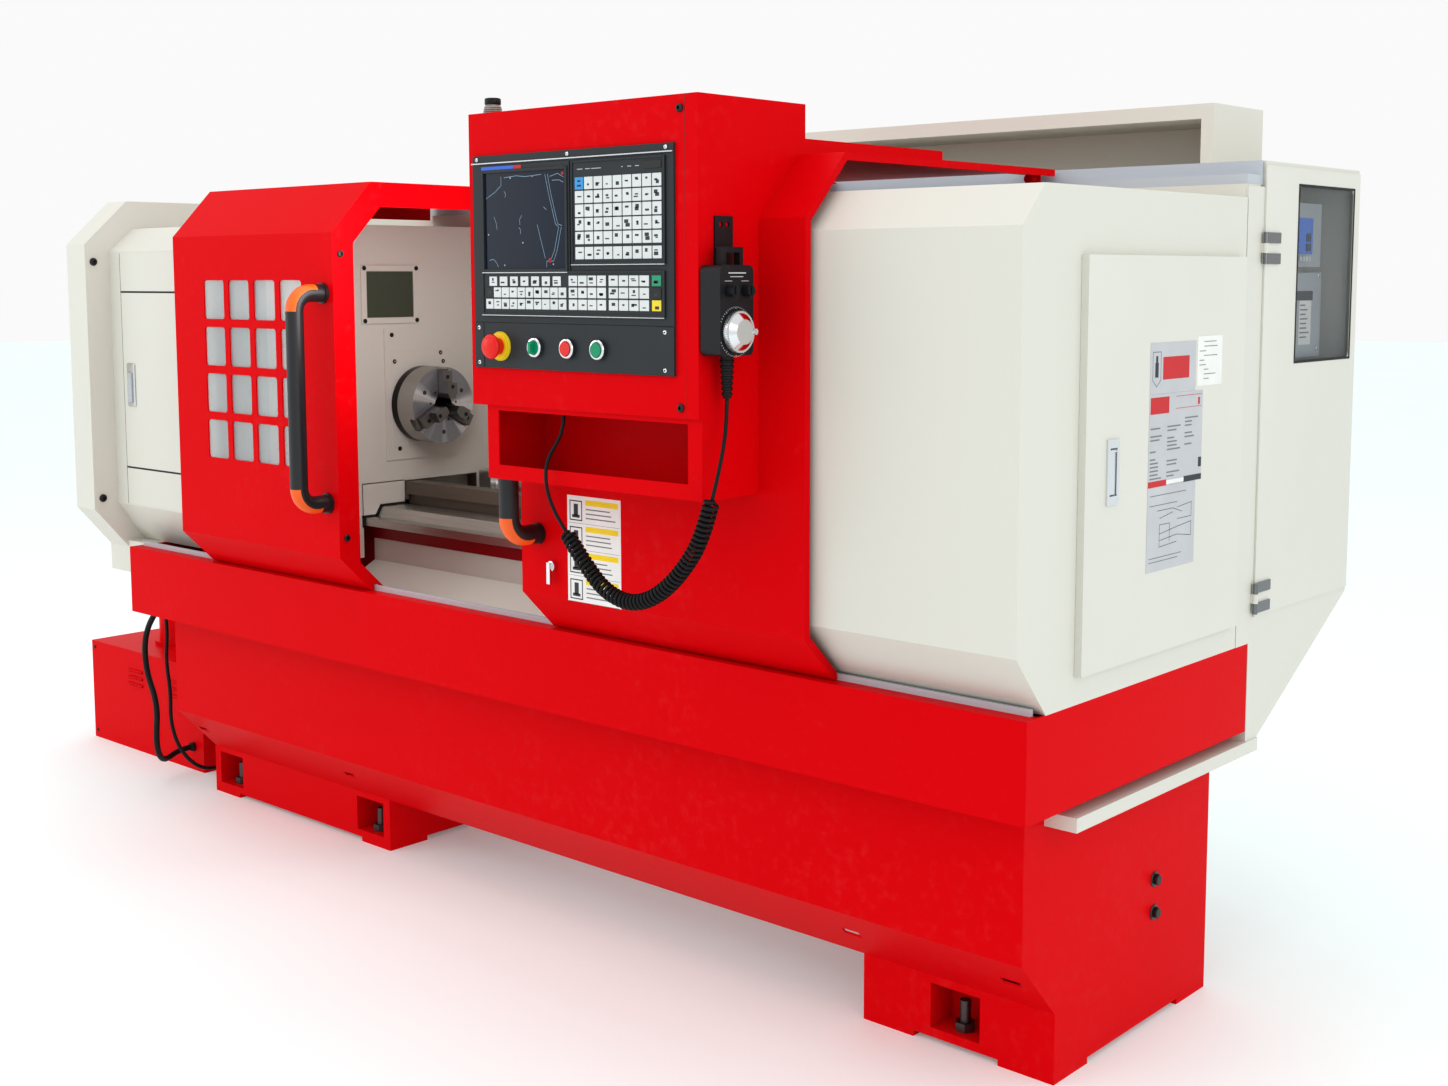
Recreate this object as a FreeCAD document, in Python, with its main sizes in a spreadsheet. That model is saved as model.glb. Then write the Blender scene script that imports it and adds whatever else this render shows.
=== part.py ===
import FreeCAD, Part
import Sketcher
import math
import os
import re

# A flat-bed turning lathe with two sliding doors, an operator's box on the right door, a rear electrical
# cabinet and a free-standing coolant tank.  Millimetres; +X from headstock to tailstock, -Y towards the
# operator, +Z up, floor at z = 0.

doc = FreeCAD.newDocument("turning_lathe")
sheet = doc.addObject("Spreadsheet::Sheet", "Dims")

# ---------------------------------------------------------------------------------------------------
# Driving dimensions
# ---------------------------------------------------------------------------------------------------

DIMENSIONS = {
    # sheet metal and running clearances
    "skin": 3.0,
    "fit_gap": 0.3,
    "run_gap": 0.05,
    # spindle axis, parallel to X
    "axis_y": -15.0,
    # cast pedestals
    "base_left": -844.5,
    "left_foot_long": 675.0,
    "right_foot_long": 360.0,
    "pedestal_front": -250.0,
    "pedestal_back": 232.0,
    "pedestal_wall": 22.0,
    "foot_front": -261.5,
    "foot_high": 112.0,
    "foot_floor": 30.0,
    "arch_high": 10.0,
    "arch_pad": 100.0,
    "pocket_wide": 93.0,
    "pocket_low": 25.0,
    "pocket_high": 99.0,
    "pocket_deep": 62.0,
    "pocket_inset": 22.5,
    "bolt_radius": 9.0,
    "bolt_setback": 30.0,
    # folded skirt in front of the pedestals
    "skirt_front": -357.0,
    "skirt_break": 214.0,
    "slot_long": 34.0,
    "slot_wide": 12.0,
    "slot_front": -316.0,
    # chip tray
    "tray_left": -891.5,
    "tray_long": 2400.0,
    "tray_front": -437.0,
    "tray_back": 254.0,
    "tray_low": 455.0,
    "tray_deep": 151.0,
    "tray_wall": 5.0,
    "rim_wide": 35.0,
    "rim_drop": 40.0,
    "chute_front": -396.0,
    # bed
    "bed_left": -880.0,
    "bed_front": -150.0,
    "way_half": 161.0,
    "way_strip": 34.0,
    "hump_slope": 12.0,
    "hump_back": -66.0,
    "ledge_back": -18.0,
    "rear_way_front": 60.0,
    "bed_back": 120.0,
    "guide_front": -62.0,
    "guide_wide": 40.0,
    "neck_inset": 10.0,
    "core_inset": 22.0,
    # headstock
    "wall_right": -350.0,
    "head_left": -940.0,
    "head_right": -400.0,
    "head_front": -190.0,
    "head_back": 160.0,
    "spindle_radius": 45.0,
    "spindle_bore": 26.0,
    "bearing_radius": 75.0,
    "nose_radius": 62.0,
    "nose_long": 12.0,
    "pulley_radius": 90.0,
    "pulley_wide": 46.0,
    "pulley_left": -1045.0,
    "chuck_radius": 85.0,
    "chuck_thick": 75.0,
    "chuck_bore": 24.0,
    "jaw_wide": 30.0,
    "jaw_inner": 16.0,
    "jaw_outer": 80.0,
    "jaw_seat": 18.0,
    "jaw_out": 34.0,
    # main motor behind the pedestal
    "motor_y": 360.0,
    "motor_radius": 92.0,
    "motor_left": -960.0,
    "motor_long": 330.0,
    "motor_pulley_radius": 58.0,
    "motor_shaft": 19.0,
    "belt_thick": 6.0,
    # hoods: shared by doors and fixed covers
    "frame_wide": 48.0,
    "sill_wide": 24.0,
    "lip_deep": 12.0,
    # sliding doors
    "door_front": -490.0,
    "door_toe_y": -417.7,
    "door_brow_y": -397.0,
    "door_back": 199.0,
    "left_door_left": -571.0,
    "left_door_long": 567.0,
    "right_door_left": 525.0,
    "right_door_long": 629.7,
    "tab_wide": 60.0,
    "tab_back": 258.0,
    # window grid in the left door
    "pane_left": -456.5,
    "pane_wide": 74.0,
    "pane_high": 80.0,
    "pane_step_x": 91.0,
    "pane_step_z": 96.4,
    "pane_round": 7.0,
    "glass_thick": 4.0,
    # tail guard
    "tail_front": -468.7,
    "tail_toe_y": -389.0,
    "tail_brow_y": -413.7,
    "tail_left": 870.0,
    "tail_door_front": -314.0,
    "tail_door_back": 183.0,
    "tail_door_proud": 12.0,
    "tail_land": 14.0,
    "latch_y": -239.0,
    "latch_wide": 34.0,
    "latch_high": 96.0,
    "paddle_wide": 16.0,
    "paddle_high": 66.0,
    # headstock cover
    "cover_front": -410.6,
    "cover_toe_y": -345.0,
    "cover_brow_y": -350.0,
    "cover_left": -983.0,
    "fixed_back": 205.0,
    "lamp_window_front": -172.0,
    "lamp_window_wide": 156.0,
    "lamp_glass_inset": 14.0,
    "nose_plate_front": -113.0,
    "nose_plate_wide": 205.0,
    "nose_hole": 70.0,
    # gear-end cover
    "gear_front": -470.0,
    "gear_toe_y": -388.0,
    "gear_brow_y": -362.7,
    "gear_left": -1066.0,
    "gear_back": 480.0,
    "gear_foot_right": -896.0,
    "gear_flange": 62.0,
    # rear splash guard, cabinet and top box
    "rail_back": 268.0,
    "rail_left": -975.0,
    "lower_rail_y": -409.0,
    "lower_rail_wide": 7.0,
    "lower_rail_high": 10.0,
    "glide_long": 40.0,
    "cabinet_left": 372.0,
    "cabinet_front": 208.0,
    "cabinet_back": 658.0,
    "cabinet_keel_y": 297.0,
    "view_front": 394.0,
    "view_wide": 236.0,
    "view_round": 14.0,
    "cabinet_door_front": 268.0,
    "cabinet_door_back": 655.0,
    "hinge_y": 262.0,
    "hinge_radius": 5.0,
    "pin_radius": 4.0,
    "drive_deep": 172.0,
    "strip_front": -302.0,
    "box_left": 380.0,
    "box_front": 399.0,
    "box_back": 595.0,
    "box_cheek": 24.0,
    # operator's box on the right door
    "console_left": 561.0,
    "console_right": 1064.3,
    "console_front": -623.4,
    "console_back": -380.0,
    "duct_back": -13.0,
    "console_cable_x": 820.0,
    "cable_hole": 18.0,
    "panel_left": 574.0,
    "panel_right": 1020.3,
    "panel_thick": 4.0,
    "screen_left": 603.0,
    "screen_right": 793.0,
    "keys_left": 808.0,
    "keys_right": 1002.0,
    "key_plate": 1.5,
    "stop_x": 637.0,
    "selector_x": 722.0,
    "red_x": 796.0,
    "green_x": 864.0,
    "bezel_radius": 15.0,
    "bezel_deep": 6.0,
    "cap_radius": 11.0,
    "stop_ring": 22.0,
    "stop_head": 20.0,
    "stop_collar": 5.0,
    "stop_reach": 30.6,
    # storage tray under the box
    "store_left": 588.1,
    "store_front": -616.0,
    "mouth_left": 615.0,
    "mouth_right": 1036.0,
    # handles
    "grip_radius": 17.0,
    "grip_reach": 66.0,
    "grip_bend": 34.0,
    "left_grip_x": -37.5,
    "right_grip_x": 568.0,
    # handwheel pendant
    "pendant_thick": 38.0,
    "pendant_front": -622.0,
    "pendant_back": -549.0,
    "pendant_round": 10.0,
    "wheel_y": -588.0,
    "wheel_radius": 30.0,
    "wheel_shaft": 6.0,
    "knob_shaft": 3.0,
    "knob_front": -602.0,
    "knob_back": -567.0,
    "knob_radius": 8.5,
    "relief_y": -586.0,
    # small parts
    "lamp_x": 592.0,
    "lamp_y": -598.0,
    "lamp_radius": 17.0,
    "lamp_high": 26.0,
    "lock_x": 606.0,
    # carriage, slides and turret
    "saddle_left": 600.0,
    "saddle_long": 300.0,
    "saddle_front": -215.0,
    "saddle_back": 200.0,
    "screw_y": 174.0,
    "screw_radius": 16.0,
    "slide_left": 660.0,
    "slide_long": 180.0,
    "slide_front": -260.0,
    "slide_back": 140.0,
    "turret_x": 750.0,
    "turret_y": -150.0,
    "turret_half": 78.0,
    "tool_wide": 20.0,
    "tool_out": 40.0,
    # tailstock
    "stock_left": 1180.0,
    "stock_long": 190.0,
    "stock_half": 78.0,
    "barrel_radius": 55.0,
    "quill_radius": 30.0,
    "quill_out": 30.0,
    "handwheel_radius": 80.0,
    "crank_shaft": 10.0,
    # cords
    "lead_radius": 3.0,
    "coil_radius": 13.5,
    "hose_radius": 7.0,
    "cable_radius": 4.5,
    # coolant tank and pump
    "tank_left": -1524.3,
    "tank_right": -990.0,
    "tank_front": -205.0,
    "tank_back": 230.0,
    "tank_high": 262.0,
    "pump_x": -1322.0,
    "pump_y": -56.0,
    "pump_radius": 62.0,
    "pump_high": 425.0,
}

# Heights above the tray's rim: whatever stands on the tray rises with it.
LEVELS = {
    "axis_z": 333.0,
    "chute_low": -136.0,
    "chute_break": -6.0,
    "way_low": 72.0,
    "strip_high": 89.0,
    "way_high": 110.0,
    "ledge_high": 94.0,
    "channel_low": -106.0,
    "guide_low": 132.0,
    "guide_high": 160.0,
    "head_top": 504.0,
    "motor_z": 4.0,
    "motor_shelf": -156.0,
    "door_toe_z": 1.5,
    "door_low_break": 73.5,
    "door_high_break": 701.3,
    "door_roof": 800.0,
    "pane_low": 241.5,
    "tail_toe_z": 0.3,
    "tail_low_break": 93.3,
    "tail_high_break": 682.7,
    "tail_roof": 741.0,
    "tail_door_low": 43.0,
    "tail_door_high": 645.0,
    "latch_z": 333.0,
    "cover_toe_z": 0.3,
    "cover_low_break": 91.6,
    "cover_high_break": 676.6,
    "cover_roof": 730.0,
    "lamp_window_low": 514.0,
    "lamp_window_high": 643.0,
    "nose_plate_low": 210.0,
    "nose_plate_high": 502.0,
    "gear_toe_z": -15.0,
    "gear_low_break": 80.9,
    "gear_high_break": 692.9,
    "gear_roof": 793.2,
    "gear_foot_low": -76.0,
    "rail_low": 763.0,
    "rail_high": 803.0,
    "rail_run": 779.2,
    "cabinet_roof": 802.7,
    "cabinet_notch": 760.0,
    "cabinet_break": 36.0,
    "cabinet_keel_z": -169.0,
    "view_low": 467.0,
    "view_high": 768.0,
    "cabinet_door_low": 44.0,
    "cabinet_door_high": 796.0,
    "strip_low": -191.0,
    "box_roof": 916.0,
    "box_mouth_low": 808.0,
    "box_mouth_high": 890.0,
    "console_low": 408.5,
    "console_high": 876.7,
    "duct_high": 825.0,
    "panel_low": 469.9,
    "panel_split": 543.4,
    "panel_high": 808.5,
    "screen_low": 628.0,
    "screen_high": 780.0,
    "keys_low": 634.0,
    "keys_high": 790.0,
    "lower_keys_low": 557.0,
    "lower_keys_high": 623.0,
    "button_z": 505.0,
    "store_low": 287.6,
    "mouth_low": 311.0,
    "mouth_high": 400.0,
    "grip_low": 179.0,
    "grip_high": 586.0,
    "short_grip_high": 379.0,
    "pendant_low": 501.0,
    "pendant_high": 632.0,
    "loop_high": 658.0,
    "plate_top": 703.0,
    "wheel_z": 536.0,
    "knob_z": 595.0,
    "relief_low": 439.0,
    "lock_z": 127.0,
    "saddle_high": 194.0,
    "screw_z": 134.0,
    "slide_high": 236.0,
    "turret_high": 356.0,
}

# Places along X counted from the tray's right-hand end.
FROM_RIGHT_END = {
    "base_right": -51.0,
    "bed_right": -108.5,
    "tail_right": 0.8,
    "splash_right": -3.5,
    "strip_right": 3.5,
    "box_right": -157.0,
}


def fill_sheet():
    """Write every driving dimension in the sheet, one alias a row."""
    rows = list(DIMENSIONS.items())
    rows += [(name + "_rise", rise) for name, rise in LEVELS.items()]
    rows += [(name + "_reach", reach) for name, reach in FROM_RIGHT_END.items()]
    for row, (alias, number) in enumerate(rows, start=1):
        sheet.set(f"A{row}", alias)
        sheet.set(f"B{row}", str(number))
        sheet.setAlias(f"B{row}", alias)
        aliases.add(alias)
    return len(rows)


aliases = set()
last_row = fill_sheet()


def tied(text):
    """The expression with each dimension's name turned into its cell in the sheet."""
    def cell(word):
        name = word.group()
        return f"Dims.{name}" if name in aliases else name

    return re.sub(r"[a-z_]+", cell, str(text))


def derive(alias, text):
    """Add a cell worked out from the others."""
    global last_row
    last_row += 1
    sheet.set(f"A{last_row}", alias)
    sheet.set(f"B{last_row}", "=" + tied(text).replace("Dims.", ""))
    sheet.setAlias(f"B{last_row}", alias)
    aliases.add(alias)


derive("tray_high", "tray_low + tray_deep")
derive("tray_right", "tray_left + tray_long")
for level in LEVELS:
    derive(level, f"tray_high + {level}_rise")
for place_name in FROM_RIGHT_END:
    derive(place_name, f"tray_right + {place_name}_reach")
HOODS = ("door", "tail", "cover", "gear")
for hood in HOODS:
    derive(f"{hood}_brow_lean", f"atan(({hood}_brow_y - {hood}_front) / ({hood}_roof - {hood}_high_break))")
    derive(f"{hood}_toe_lean", f"atan(({hood}_toe_y - {hood}_front) / ({hood}_low_break - {hood}_toe_z))")
derive("skirt_lean", "atan((foot_front - skirt_front) / (skirt_break - foot_high))")
derive("cabinet_lean", "atan((cabinet_break - cabinet_keel_z) / (cabinet_back - cabinet_keel_y))")
derive("hinge_x", "tail_right + 6.5")
derive("tail_pin_x", "tail_right + 5.5")
derive("tail_pin_y", "tail_door_back + 6")
derive("left_door_right", "left_door_left + left_door_long")
derive("right_door_right", "right_door_left + right_door_long")
derive("way_front", "axis_y - way_half")
derive("way_back", "axis_y + way_half")
derive("pulley_right", "pulley_left + pulley_wide")
derive("chuck_left", "wall_right + skin + 4")
derive("chuck_face", "chuck_left + chuck_thick")
derive("pendant_left", "console_right + skin")
derive("pendant_right", "pendant_left + pendant_thick")
derive("panel_face", "console_front - panel_thick")
doc.recompute()


def value(text):
    """The expression's number."""
    return float(sheet.evalExpression(tied(text)))


def bind(thing, prop, text):
    thing.setExpression(prop, tied(text))


# ---------------------------------------------------------------------------------------------------
# Builders
# ---------------------------------------------------------------------------------------------------

UPRIGHT = {
    "x": FreeCAD.Rotation(FreeCAD.Vector(0, 1, 0), 90),
    "y": FreeCAD.Rotation(FreeCAD.Vector(1, 0, 0), -90),
    "z": FreeCAD.Rotation(),
}
PLANE_ROLES = {"x": "YZ_Plane", "y": "XZ_Plane", "z": "XY_Plane"}
JAW_TURNS = (90, 210, 330)
CABINET_HINGES = ("cabinet_door_low + 6", "cabinet_door_high - 162")
TAIL_HINGES = ("tail_door_low + 51", "tail_door_high - 91")
nodes = []
cuts = []
bolt_places = []


def place(thing, corner):
    for axis, text in zip("xyz", corner):
        bind(thing, f"Placement.Base.{axis}", text)


def block(label, low, high):
    """A rectangular block between two corners."""
    box = doc.addObject("Part::Box", label)
    for side, start, end in zip(("Length", "Width", "Height"), low, high):
        bind(box, side, f"({end}) - ({start})")
    place(box, low)
    return box


def rod(label, axis, start, length, radius):
    """A round bar that starts at a point and runs along +X, +Y or +Z."""
    bar = doc.addObject("Part::Cylinder", label)
    bind(bar, "Radius", radius)
    bind(bar, "Height", length)
    bar.Placement.Rotation = UPRIGHT[axis]
    place(bar, start)
    return bar


def cone(label, axis, start, length, low_radius, high_radius):
    """A tapered bar that starts at a point and runs along +X, +Y or +Z."""
    bar = doc.addObject("Part::Cone", label)
    bind(bar, "Radius1", low_radius)
    bind(bar, "Radius2", high_radius)
    bind(bar, "Height", length)
    bar.Placement.Rotation = UPRIGHT[axis]
    place(bar, start)
    return bar


def join(label, pieces):
    fused = doc.addObject("Part::MultiFuse", label)
    fused.Shapes = pieces
    return fused


def group(label, pieces):
    """Separate solids that share one node."""
    bundle = doc.addObject("Part::Compound", label)
    bundle.Links = pieces
    return bundle


def cut(label, base, tools):
    """The base with each tool taken out of it."""
    tool = tools[0] if len(tools) == 1 else join(label + "_tools", tools)
    result = doc.addObject("Part::Cut", label)
    result.Base = base
    result.Tool = tool
    cuts.append(result)
    return result


def rounded(label, base, radius, along):
    """The base with its straight edges along one axis rounded."""
    doc.recompute()
    picked = []
    for number, edge in enumerate(base.Shape.Edges, start=1):
        ends = [vertex.Point for vertex in edge.Vertexes]
        if len(ends) == 2:
            way = (ends[1] - ends[0]).normalize()
            if abs(abs(way.dot(along)) - 1) < 1e-6:
                picked.append((number, value(radius), value(radius)))
    fillet = doc.addObject("Part::Fillet", label)
    fillet.Base = base
    fillet.Edges = picked
    return fillet


def draw(sketch, points):
    """A closed run of lines through points whose two coordinates are expressions."""
    spots = [FreeCAD.Vector(value(across), value(up), 0) for across, up in points]
    first = sketch.GeometryCount
    count = len(spots)
    lines = [Part.LineSegment(spots[i], spots[(i + 1) % count]) for i in range(count)]
    sketch.addGeometry(lines, False)
    for i in range(count):
        sketch.addConstraint(Sketcher.Constraint("Coincident", first + i, 2, first + (i + 1) % count, 1))
    for i, (across, up) in enumerate(points):
        for kind, text in (("DistanceX", across), ("DistanceY", up)):
            index = sketch.addConstraint(Sketcher.Constraint(kind, -1, 1, first + i, 1, value(text)))
            sketch.setExpression(f"Constraints[{index}]", tied(text))


def sketch_on(body, axis, offset, loops):
    """A sketch across an axis, lifted along its plane's normal, holding closed outlines."""
    plane = [feature for feature in body.Origin.OriginFeatures if feature.Role == PLANE_ROLES[axis]][0]
    sketch = body.newObject("Sketcher::SketchObject", body.Label + "_outline")
    sketch.AttachmentSupport = (plane, [""])
    sketch.MapMode = "FlatFace"
    sketch.AttachmentOffset = FreeCAD.Placement(FreeCAD.Vector(0, 0, value(offset)), FreeCAD.Rotation())
    bind(sketch, "AttachmentOffset.Base.z", offset)
    for points in loops:
        draw(sketch, points)
    return sketch


def slab(label, axis, start, thickness, *loops):
    """An outline drawn across an axis and thickened along it; the outline's later loops are holes."""
    body = doc.addObject("PartDesign::Body", label)
    thicken(body, axis, start, thickness, *loops)
    return body


def thicken(body, axis, start, thickness, *loops):
    """Add one more thickened outline to a body.  The Y plane's normal points to -Y."""
    offset = f"-({start}) - ({thickness})" if axis == "y" else start
    pad = body.newObject("PartDesign::Pad", body.Label + "_pad")
    pad.Profile = sketch_on(body, axis, offset, loops)
    bind(pad, "Length", thickness)
    body.Tip = pad
    return pad


def node(label, thing):
    """Name a finished sub-part: the label is its file's name."""
    thing.Label = label
    nodes.append((label, thing))
    return thing


# ---------------------------------------------------------------------------------------------------
# Hoods: the folded front profile that the doors and the fixed covers share
# ---------------------------------------------------------------------------------------------------


def hood_line(name, depth, back, sill=None):
    """A hood's line at a depth inside its skin, from the roof's back edge down to the toe."""
    sill = sill or depth
    brow, toe = f"{name}_brow_lean", f"{name}_toe_lean"
    low_y = f"{name}_front + {depth}"
    low_z = f"{name}_low_break - (({depth}) - ({sill}) / cos({toe})) / tan({toe})"
    return [
        (back, f"{name}_roof - {depth}"),
        (f"{name}_brow_y + ({depth}) * tan((90 deg - {brow}) / 2)", f"{name}_roof - {depth}"),
        (low_y, f"{name}_high_break - ({depth}) * tan({brow} / 2)"),
        (low_y, low_z),
        (f"{name}_toe_y + ({sill}) / cos({toe})", f"{name}_toe_z"),
    ]


def hood_ring(name, depth, back, sill=None):
    """The closed band between a hood's outside and a depth inside it."""
    return hood_line(name, "0", back) + hood_line(name, depth, back, sill)[::-1]


def hood_face(name, back, floor):
    """A hood's whole closed end, down to a floor."""
    outside = hood_line(name, "0", back)
    return outside + [(back, floor)]


# ---------------------------------------------------------------------------------------------------
# Base
# ---------------------------------------------------------------------------------------------------


def pedestal(label, left, length, pocket_lefts):
    """A hollow cast pedestal: foot with levelling pockets, column, shallow arches underneath."""
    right = f"{left} + {length}"
    foot = block(label + "_foot", (left, "foot_front", "0"), (right, "pedestal_back", "foot_high"))
    column = block(label + "_column", (left, "pedestal_front", "foot_high"),
                   (right, "pedestal_back", "tray_low"))
    solid = join(label + "_solid", [foot, column])
    inside_left, inside_right = f"{left} + pedestal_wall", f"{right} - pedestal_wall"
    hollow_low = block(
        label + "_hollow_low",
        (inside_left, "foot_front + pocket_deep + pedestal_wall", "foot_floor"),
        (inside_right, "pedestal_back - pocket_deep - pedestal_wall", "foot_high + pedestal_wall"),
    )
    hollow_high = block(
        label + "_hollow_high",
        (inside_left, "pedestal_front + pedestal_wall", "foot_high + pedestal_wall"),
        (inside_right, "pedestal_back - pedestal_wall", "tray_low + 1"),
    )
    tools = [hollow_low, hollow_high]
    tools.append(block(label + "_arch", (f"{left} + arch_pad", "foot_front - 1", "-1"),
                       (f"{right} - arch_pad", "pedestal_back + 1", "arch_high")))
    tools.append(block(label + "_side_arch", (f"{left} - 1", "foot_front + arch_pad", "-1"),
                       (f"{right} + 1", "pedestal_back - arch_pad", "arch_high")))
    for place_in_row, pocket_left in enumerate(pocket_lefts):
        middle = f"{pocket_left} + pocket_wide / 2"
        ends = (("front", "foot_front - 1", "foot_front + pocket_deep", "foot_front + bolt_setback"),
                ("back", "pedestal_back - pocket_deep", "pedestal_back + 1",
                 "pedestal_back - bolt_setback"))
        for side, near, far, bolt_y in ends:
            tag = f"{label}_{side}_{place_in_row}"
            tools.append(block(tag + "_pocket", (pocket_left, near, "pocket_low"),
                               (f"{pocket_left} + pocket_wide", far, "pocket_high")))
            tools.append(rod(tag + "_hole", "z", (middle, bolt_y, "-1"), "pocket_low + 2",
                             "bolt_radius + fit_gap"))
            bolt_places.append((middle, bolt_y))
    return node(label, cut(label + "_casting", solid, tools))


def levelling_bolts():
    """Jacking bolts that reach the floor, each with a broad hexagon head in its pocket."""
    pieces = []
    for number, (x, y) in enumerate(bolt_places):
        shank = rod(f"levelling_shank_{number}", "z", (x, y, "0"), "pocket_high - 24", "bolt_radius")
        head = doc.addObject("Part::Prism", f"levelling_head_{number}")
        head.Polygon = 6
        bind(head, "Circumradius", "bolt_radius * 1.9")
        bind(head, "Height", "bolt_radius * 1.6")
        place(head, (x, y, "pocket_low"))
        pieces.append(join(f"levelling_bolt_{number}", [shank, head]))
    return node("levelling_bolts", group("levelling_bolts", pieces))


def front_skirt():
    """One folded sheet over the whole front, closed at both ends, with slotted drain holes."""
    outside = [
        ("skirt_front", "tray_low"),
        ("skirt_front", "skirt_break"),
        ("foot_front", "foot_high"),
        ("pedestal_front", "foot_high"),
    ]
    inside = [
        ("pedestal_front", "foot_high + skin"),
        ("foot_front + skin * tan((90 deg - skirt_lean) / 2)", "foot_high + skin"),
        ("skirt_front + skin", "skirt_break + skin * tan(skirt_lean / 2)"),
        ("skirt_front + skin", "tray_low"),
    ]
    body = slab("skirt_sheet", "x", "base_left", "base_right - base_left", outside + inside)
    end = outside + [("pedestal_front", "tray_low")]
    thicken(body, "x", "base_left", "skin", end)
    thicken(body, "x", "base_right - skin", "skin", end)
    slots = []
    for number, x in enumerate(("base_left + 34", "base_left + 604", "base_right - 348",
                                "base_right - 46")):
        slots.append(block(f"skirt_slot_{number}",
                           (f"{x} - slot_long / 2", "slot_front", "foot_high + skin + 10"),
                           (f"{x} + slot_long / 2", "slot_front + slot_wide", "skirt_break")))
    return node("front_skirt", cut("skirt_slotted", body, slots))


def chip_tray():
    """A deep welded tray with a flat front rim that turns down inside."""
    outer = block("tray_outer", ("tray_left", "tray_front", "tray_low"),
                  ("tray_right", "tray_back", "tray_high"))
    inner = block("tray_inner", ("tray_left + tray_wall", "tray_front + rim_wide", "tray_low + tray_wall"),
                  ("tray_right - tray_wall", "tray_back - tray_wall", "tray_high + 1"))
    under_rim = block("tray_under_rim", ("tray_left + tray_wall", "tray_front + tray_wall",
                                         "tray_low + tray_wall"),
                      ("tray_right - tray_wall", "tray_front + rim_wide - tray_wall",
                       "tray_high - tray_wall"))
    below_lip = block("tray_below_lip", ("tray_left + tray_wall", "tray_front + tray_wall",
                                         "tray_low + tray_wall"),
                      ("tray_right - tray_wall", "tray_front + rim_wide + 1", "tray_high - rim_drop"))
    return node("chip_tray", cut("tray_folded", outer, [inner, under_rim, below_lip]))


def chip_chute():
    """A folded sheet that sheds chips from under the front way into the tray."""
    back = "bed_front - fit_gap"
    outline = [
        (back, "way_low - 30"),
        (f"{back} - skin", "way_low - 30"),
        (f"{back} - skin", "chute_break"),
        ("chute_front", "chute_low"),
        ("chute_front", "tray_low + tray_wall"),
        ("chute_front + skin", "tray_low + tray_wall"),
        ("chute_front + skin", "chute_low - skin * 0.4"),
        (back, "chute_break - skin * 0.6"),
    ]
    return node("chip_chute", slab("chute_sheet", "x", "wall_right + 4", "bed_right - 30 - wall_right",
                                   outline))


# ---------------------------------------------------------------------------------------------------
# Bed and headstock
# ---------------------------------------------------------------------------------------------------


def bed_casting():
    """The bed: front way with its hump, central guide on a narrow neck, rear way, cored underneath."""
    neck_front, neck_back = "guide_front + neck_inset", "guide_front + guide_wide - neck_inset"
    guide_back = "guide_front + guide_wide"
    outline = [
        ("bed_front", "tray_low + tray_wall"),
        ("bed_front", "way_low"),
        ("way_front", "way_low"),
        ("way_front", "strip_high"),
        ("way_front + way_strip", "strip_high"),
        ("way_front + way_strip + hump_slope", "way_high"),
        ("hump_back", "way_high"),
        ("hump_back", "ledge_high"),
        (neck_front, "ledge_high"),
        (neck_front, "guide_low"),
        ("guide_front", "guide_low"),
        ("guide_front", "guide_high"),
        (guide_back, "guide_high"),
        (guide_back, "guide_low"),
        (neck_back, "guide_low"),
        (neck_back, "ledge_high"),
        ("ledge_back", "ledge_high"),
        ("ledge_back", "channel_low"),
        ("rear_way_front", "channel_low"),
        ("rear_way_front", "way_high"),
        ("way_back", "way_high"),
        ("way_back", "way_low"),
        ("bed_back", "way_low"),
        ("bed_back", "tray_low + tray_wall"),
    ]
    core = [
        ("bed_front + core_inset", "channel_low"),
        ("bed_front + core_inset", "way_low - core_inset"),
        ("ledge_back - core_inset", "way_low - core_inset"),
        ("ledge_back - core_inset", "channel_low"),
    ]
    casting = slab("bed_section", "x", "bed_left", "bed_right - bed_left", outline, core)
    clear = block("headstock_seat", ("bed_left - 1", "hump_back", "ledge_high"),
                  ("wall_right", "ledge_back", "guide_high + 1"))
    bearers = []
    for tag, left, right in (("left", "wall_right + 10", "wall_right + 50"),
                             ("right", "bed_right - 70", "bed_right - 25")):
        bearers.append(block(f"screw_bearer_{tag}", (left, "way_back", "screw_z - 34"),
                             (right, "saddle_back", "screw_z + 34")))
    seated = cut("bed_seated", casting, [clear])
    with_bearers = join("bed_with_bearers", [seated] + bearers)
    bore = rod("screw_bore", "x", ("wall_right", "screw_y", "screw_z"), "bed_right - wall_right",
               "screw_radius + run_gap")
    return node("bed_casting", cut("bed_bored", with_bearers, [bore]))


def headstock_casting():
    """The box that holds the spindle on the bed's ways, bored for two bearings."""
    outer = block("head_outer", ("head_left", "head_front", "way_high"),
                  ("head_right", "head_back", "head_top"))
    inner = block("head_inner", ("head_left + 40", "head_front + 25", "way_high + 30"),
                  ("head_right - 40", "head_back - 25", "head_top - 25"))
    bore = rod("head_bore", "x", ("head_left - 1", "axis_y", "axis_z"), "head_right - head_left + 2",
               "bearing_radius")
    shell = cut("head_shell", outer, [inner, bore])
    rings = []
    for tag, left in (("rear", "head_left"), ("front", "head_right - 40")):
        ring = rod(f"bearing_{tag}", "x", (left, "axis_y", "axis_z"), "40", "bearing_radius")
        hole = rod(f"bearing_{tag}_hole", "x", (f"{left} - 1", "axis_y", "axis_z"), "42",
                   "spindle_radius + run_gap")
        rings.append(cut(f"bearing_{tag}_ring", ring, [hole]))
    return node("headstock_casting", join("head_with_bearings", [shell] + rings))


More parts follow.
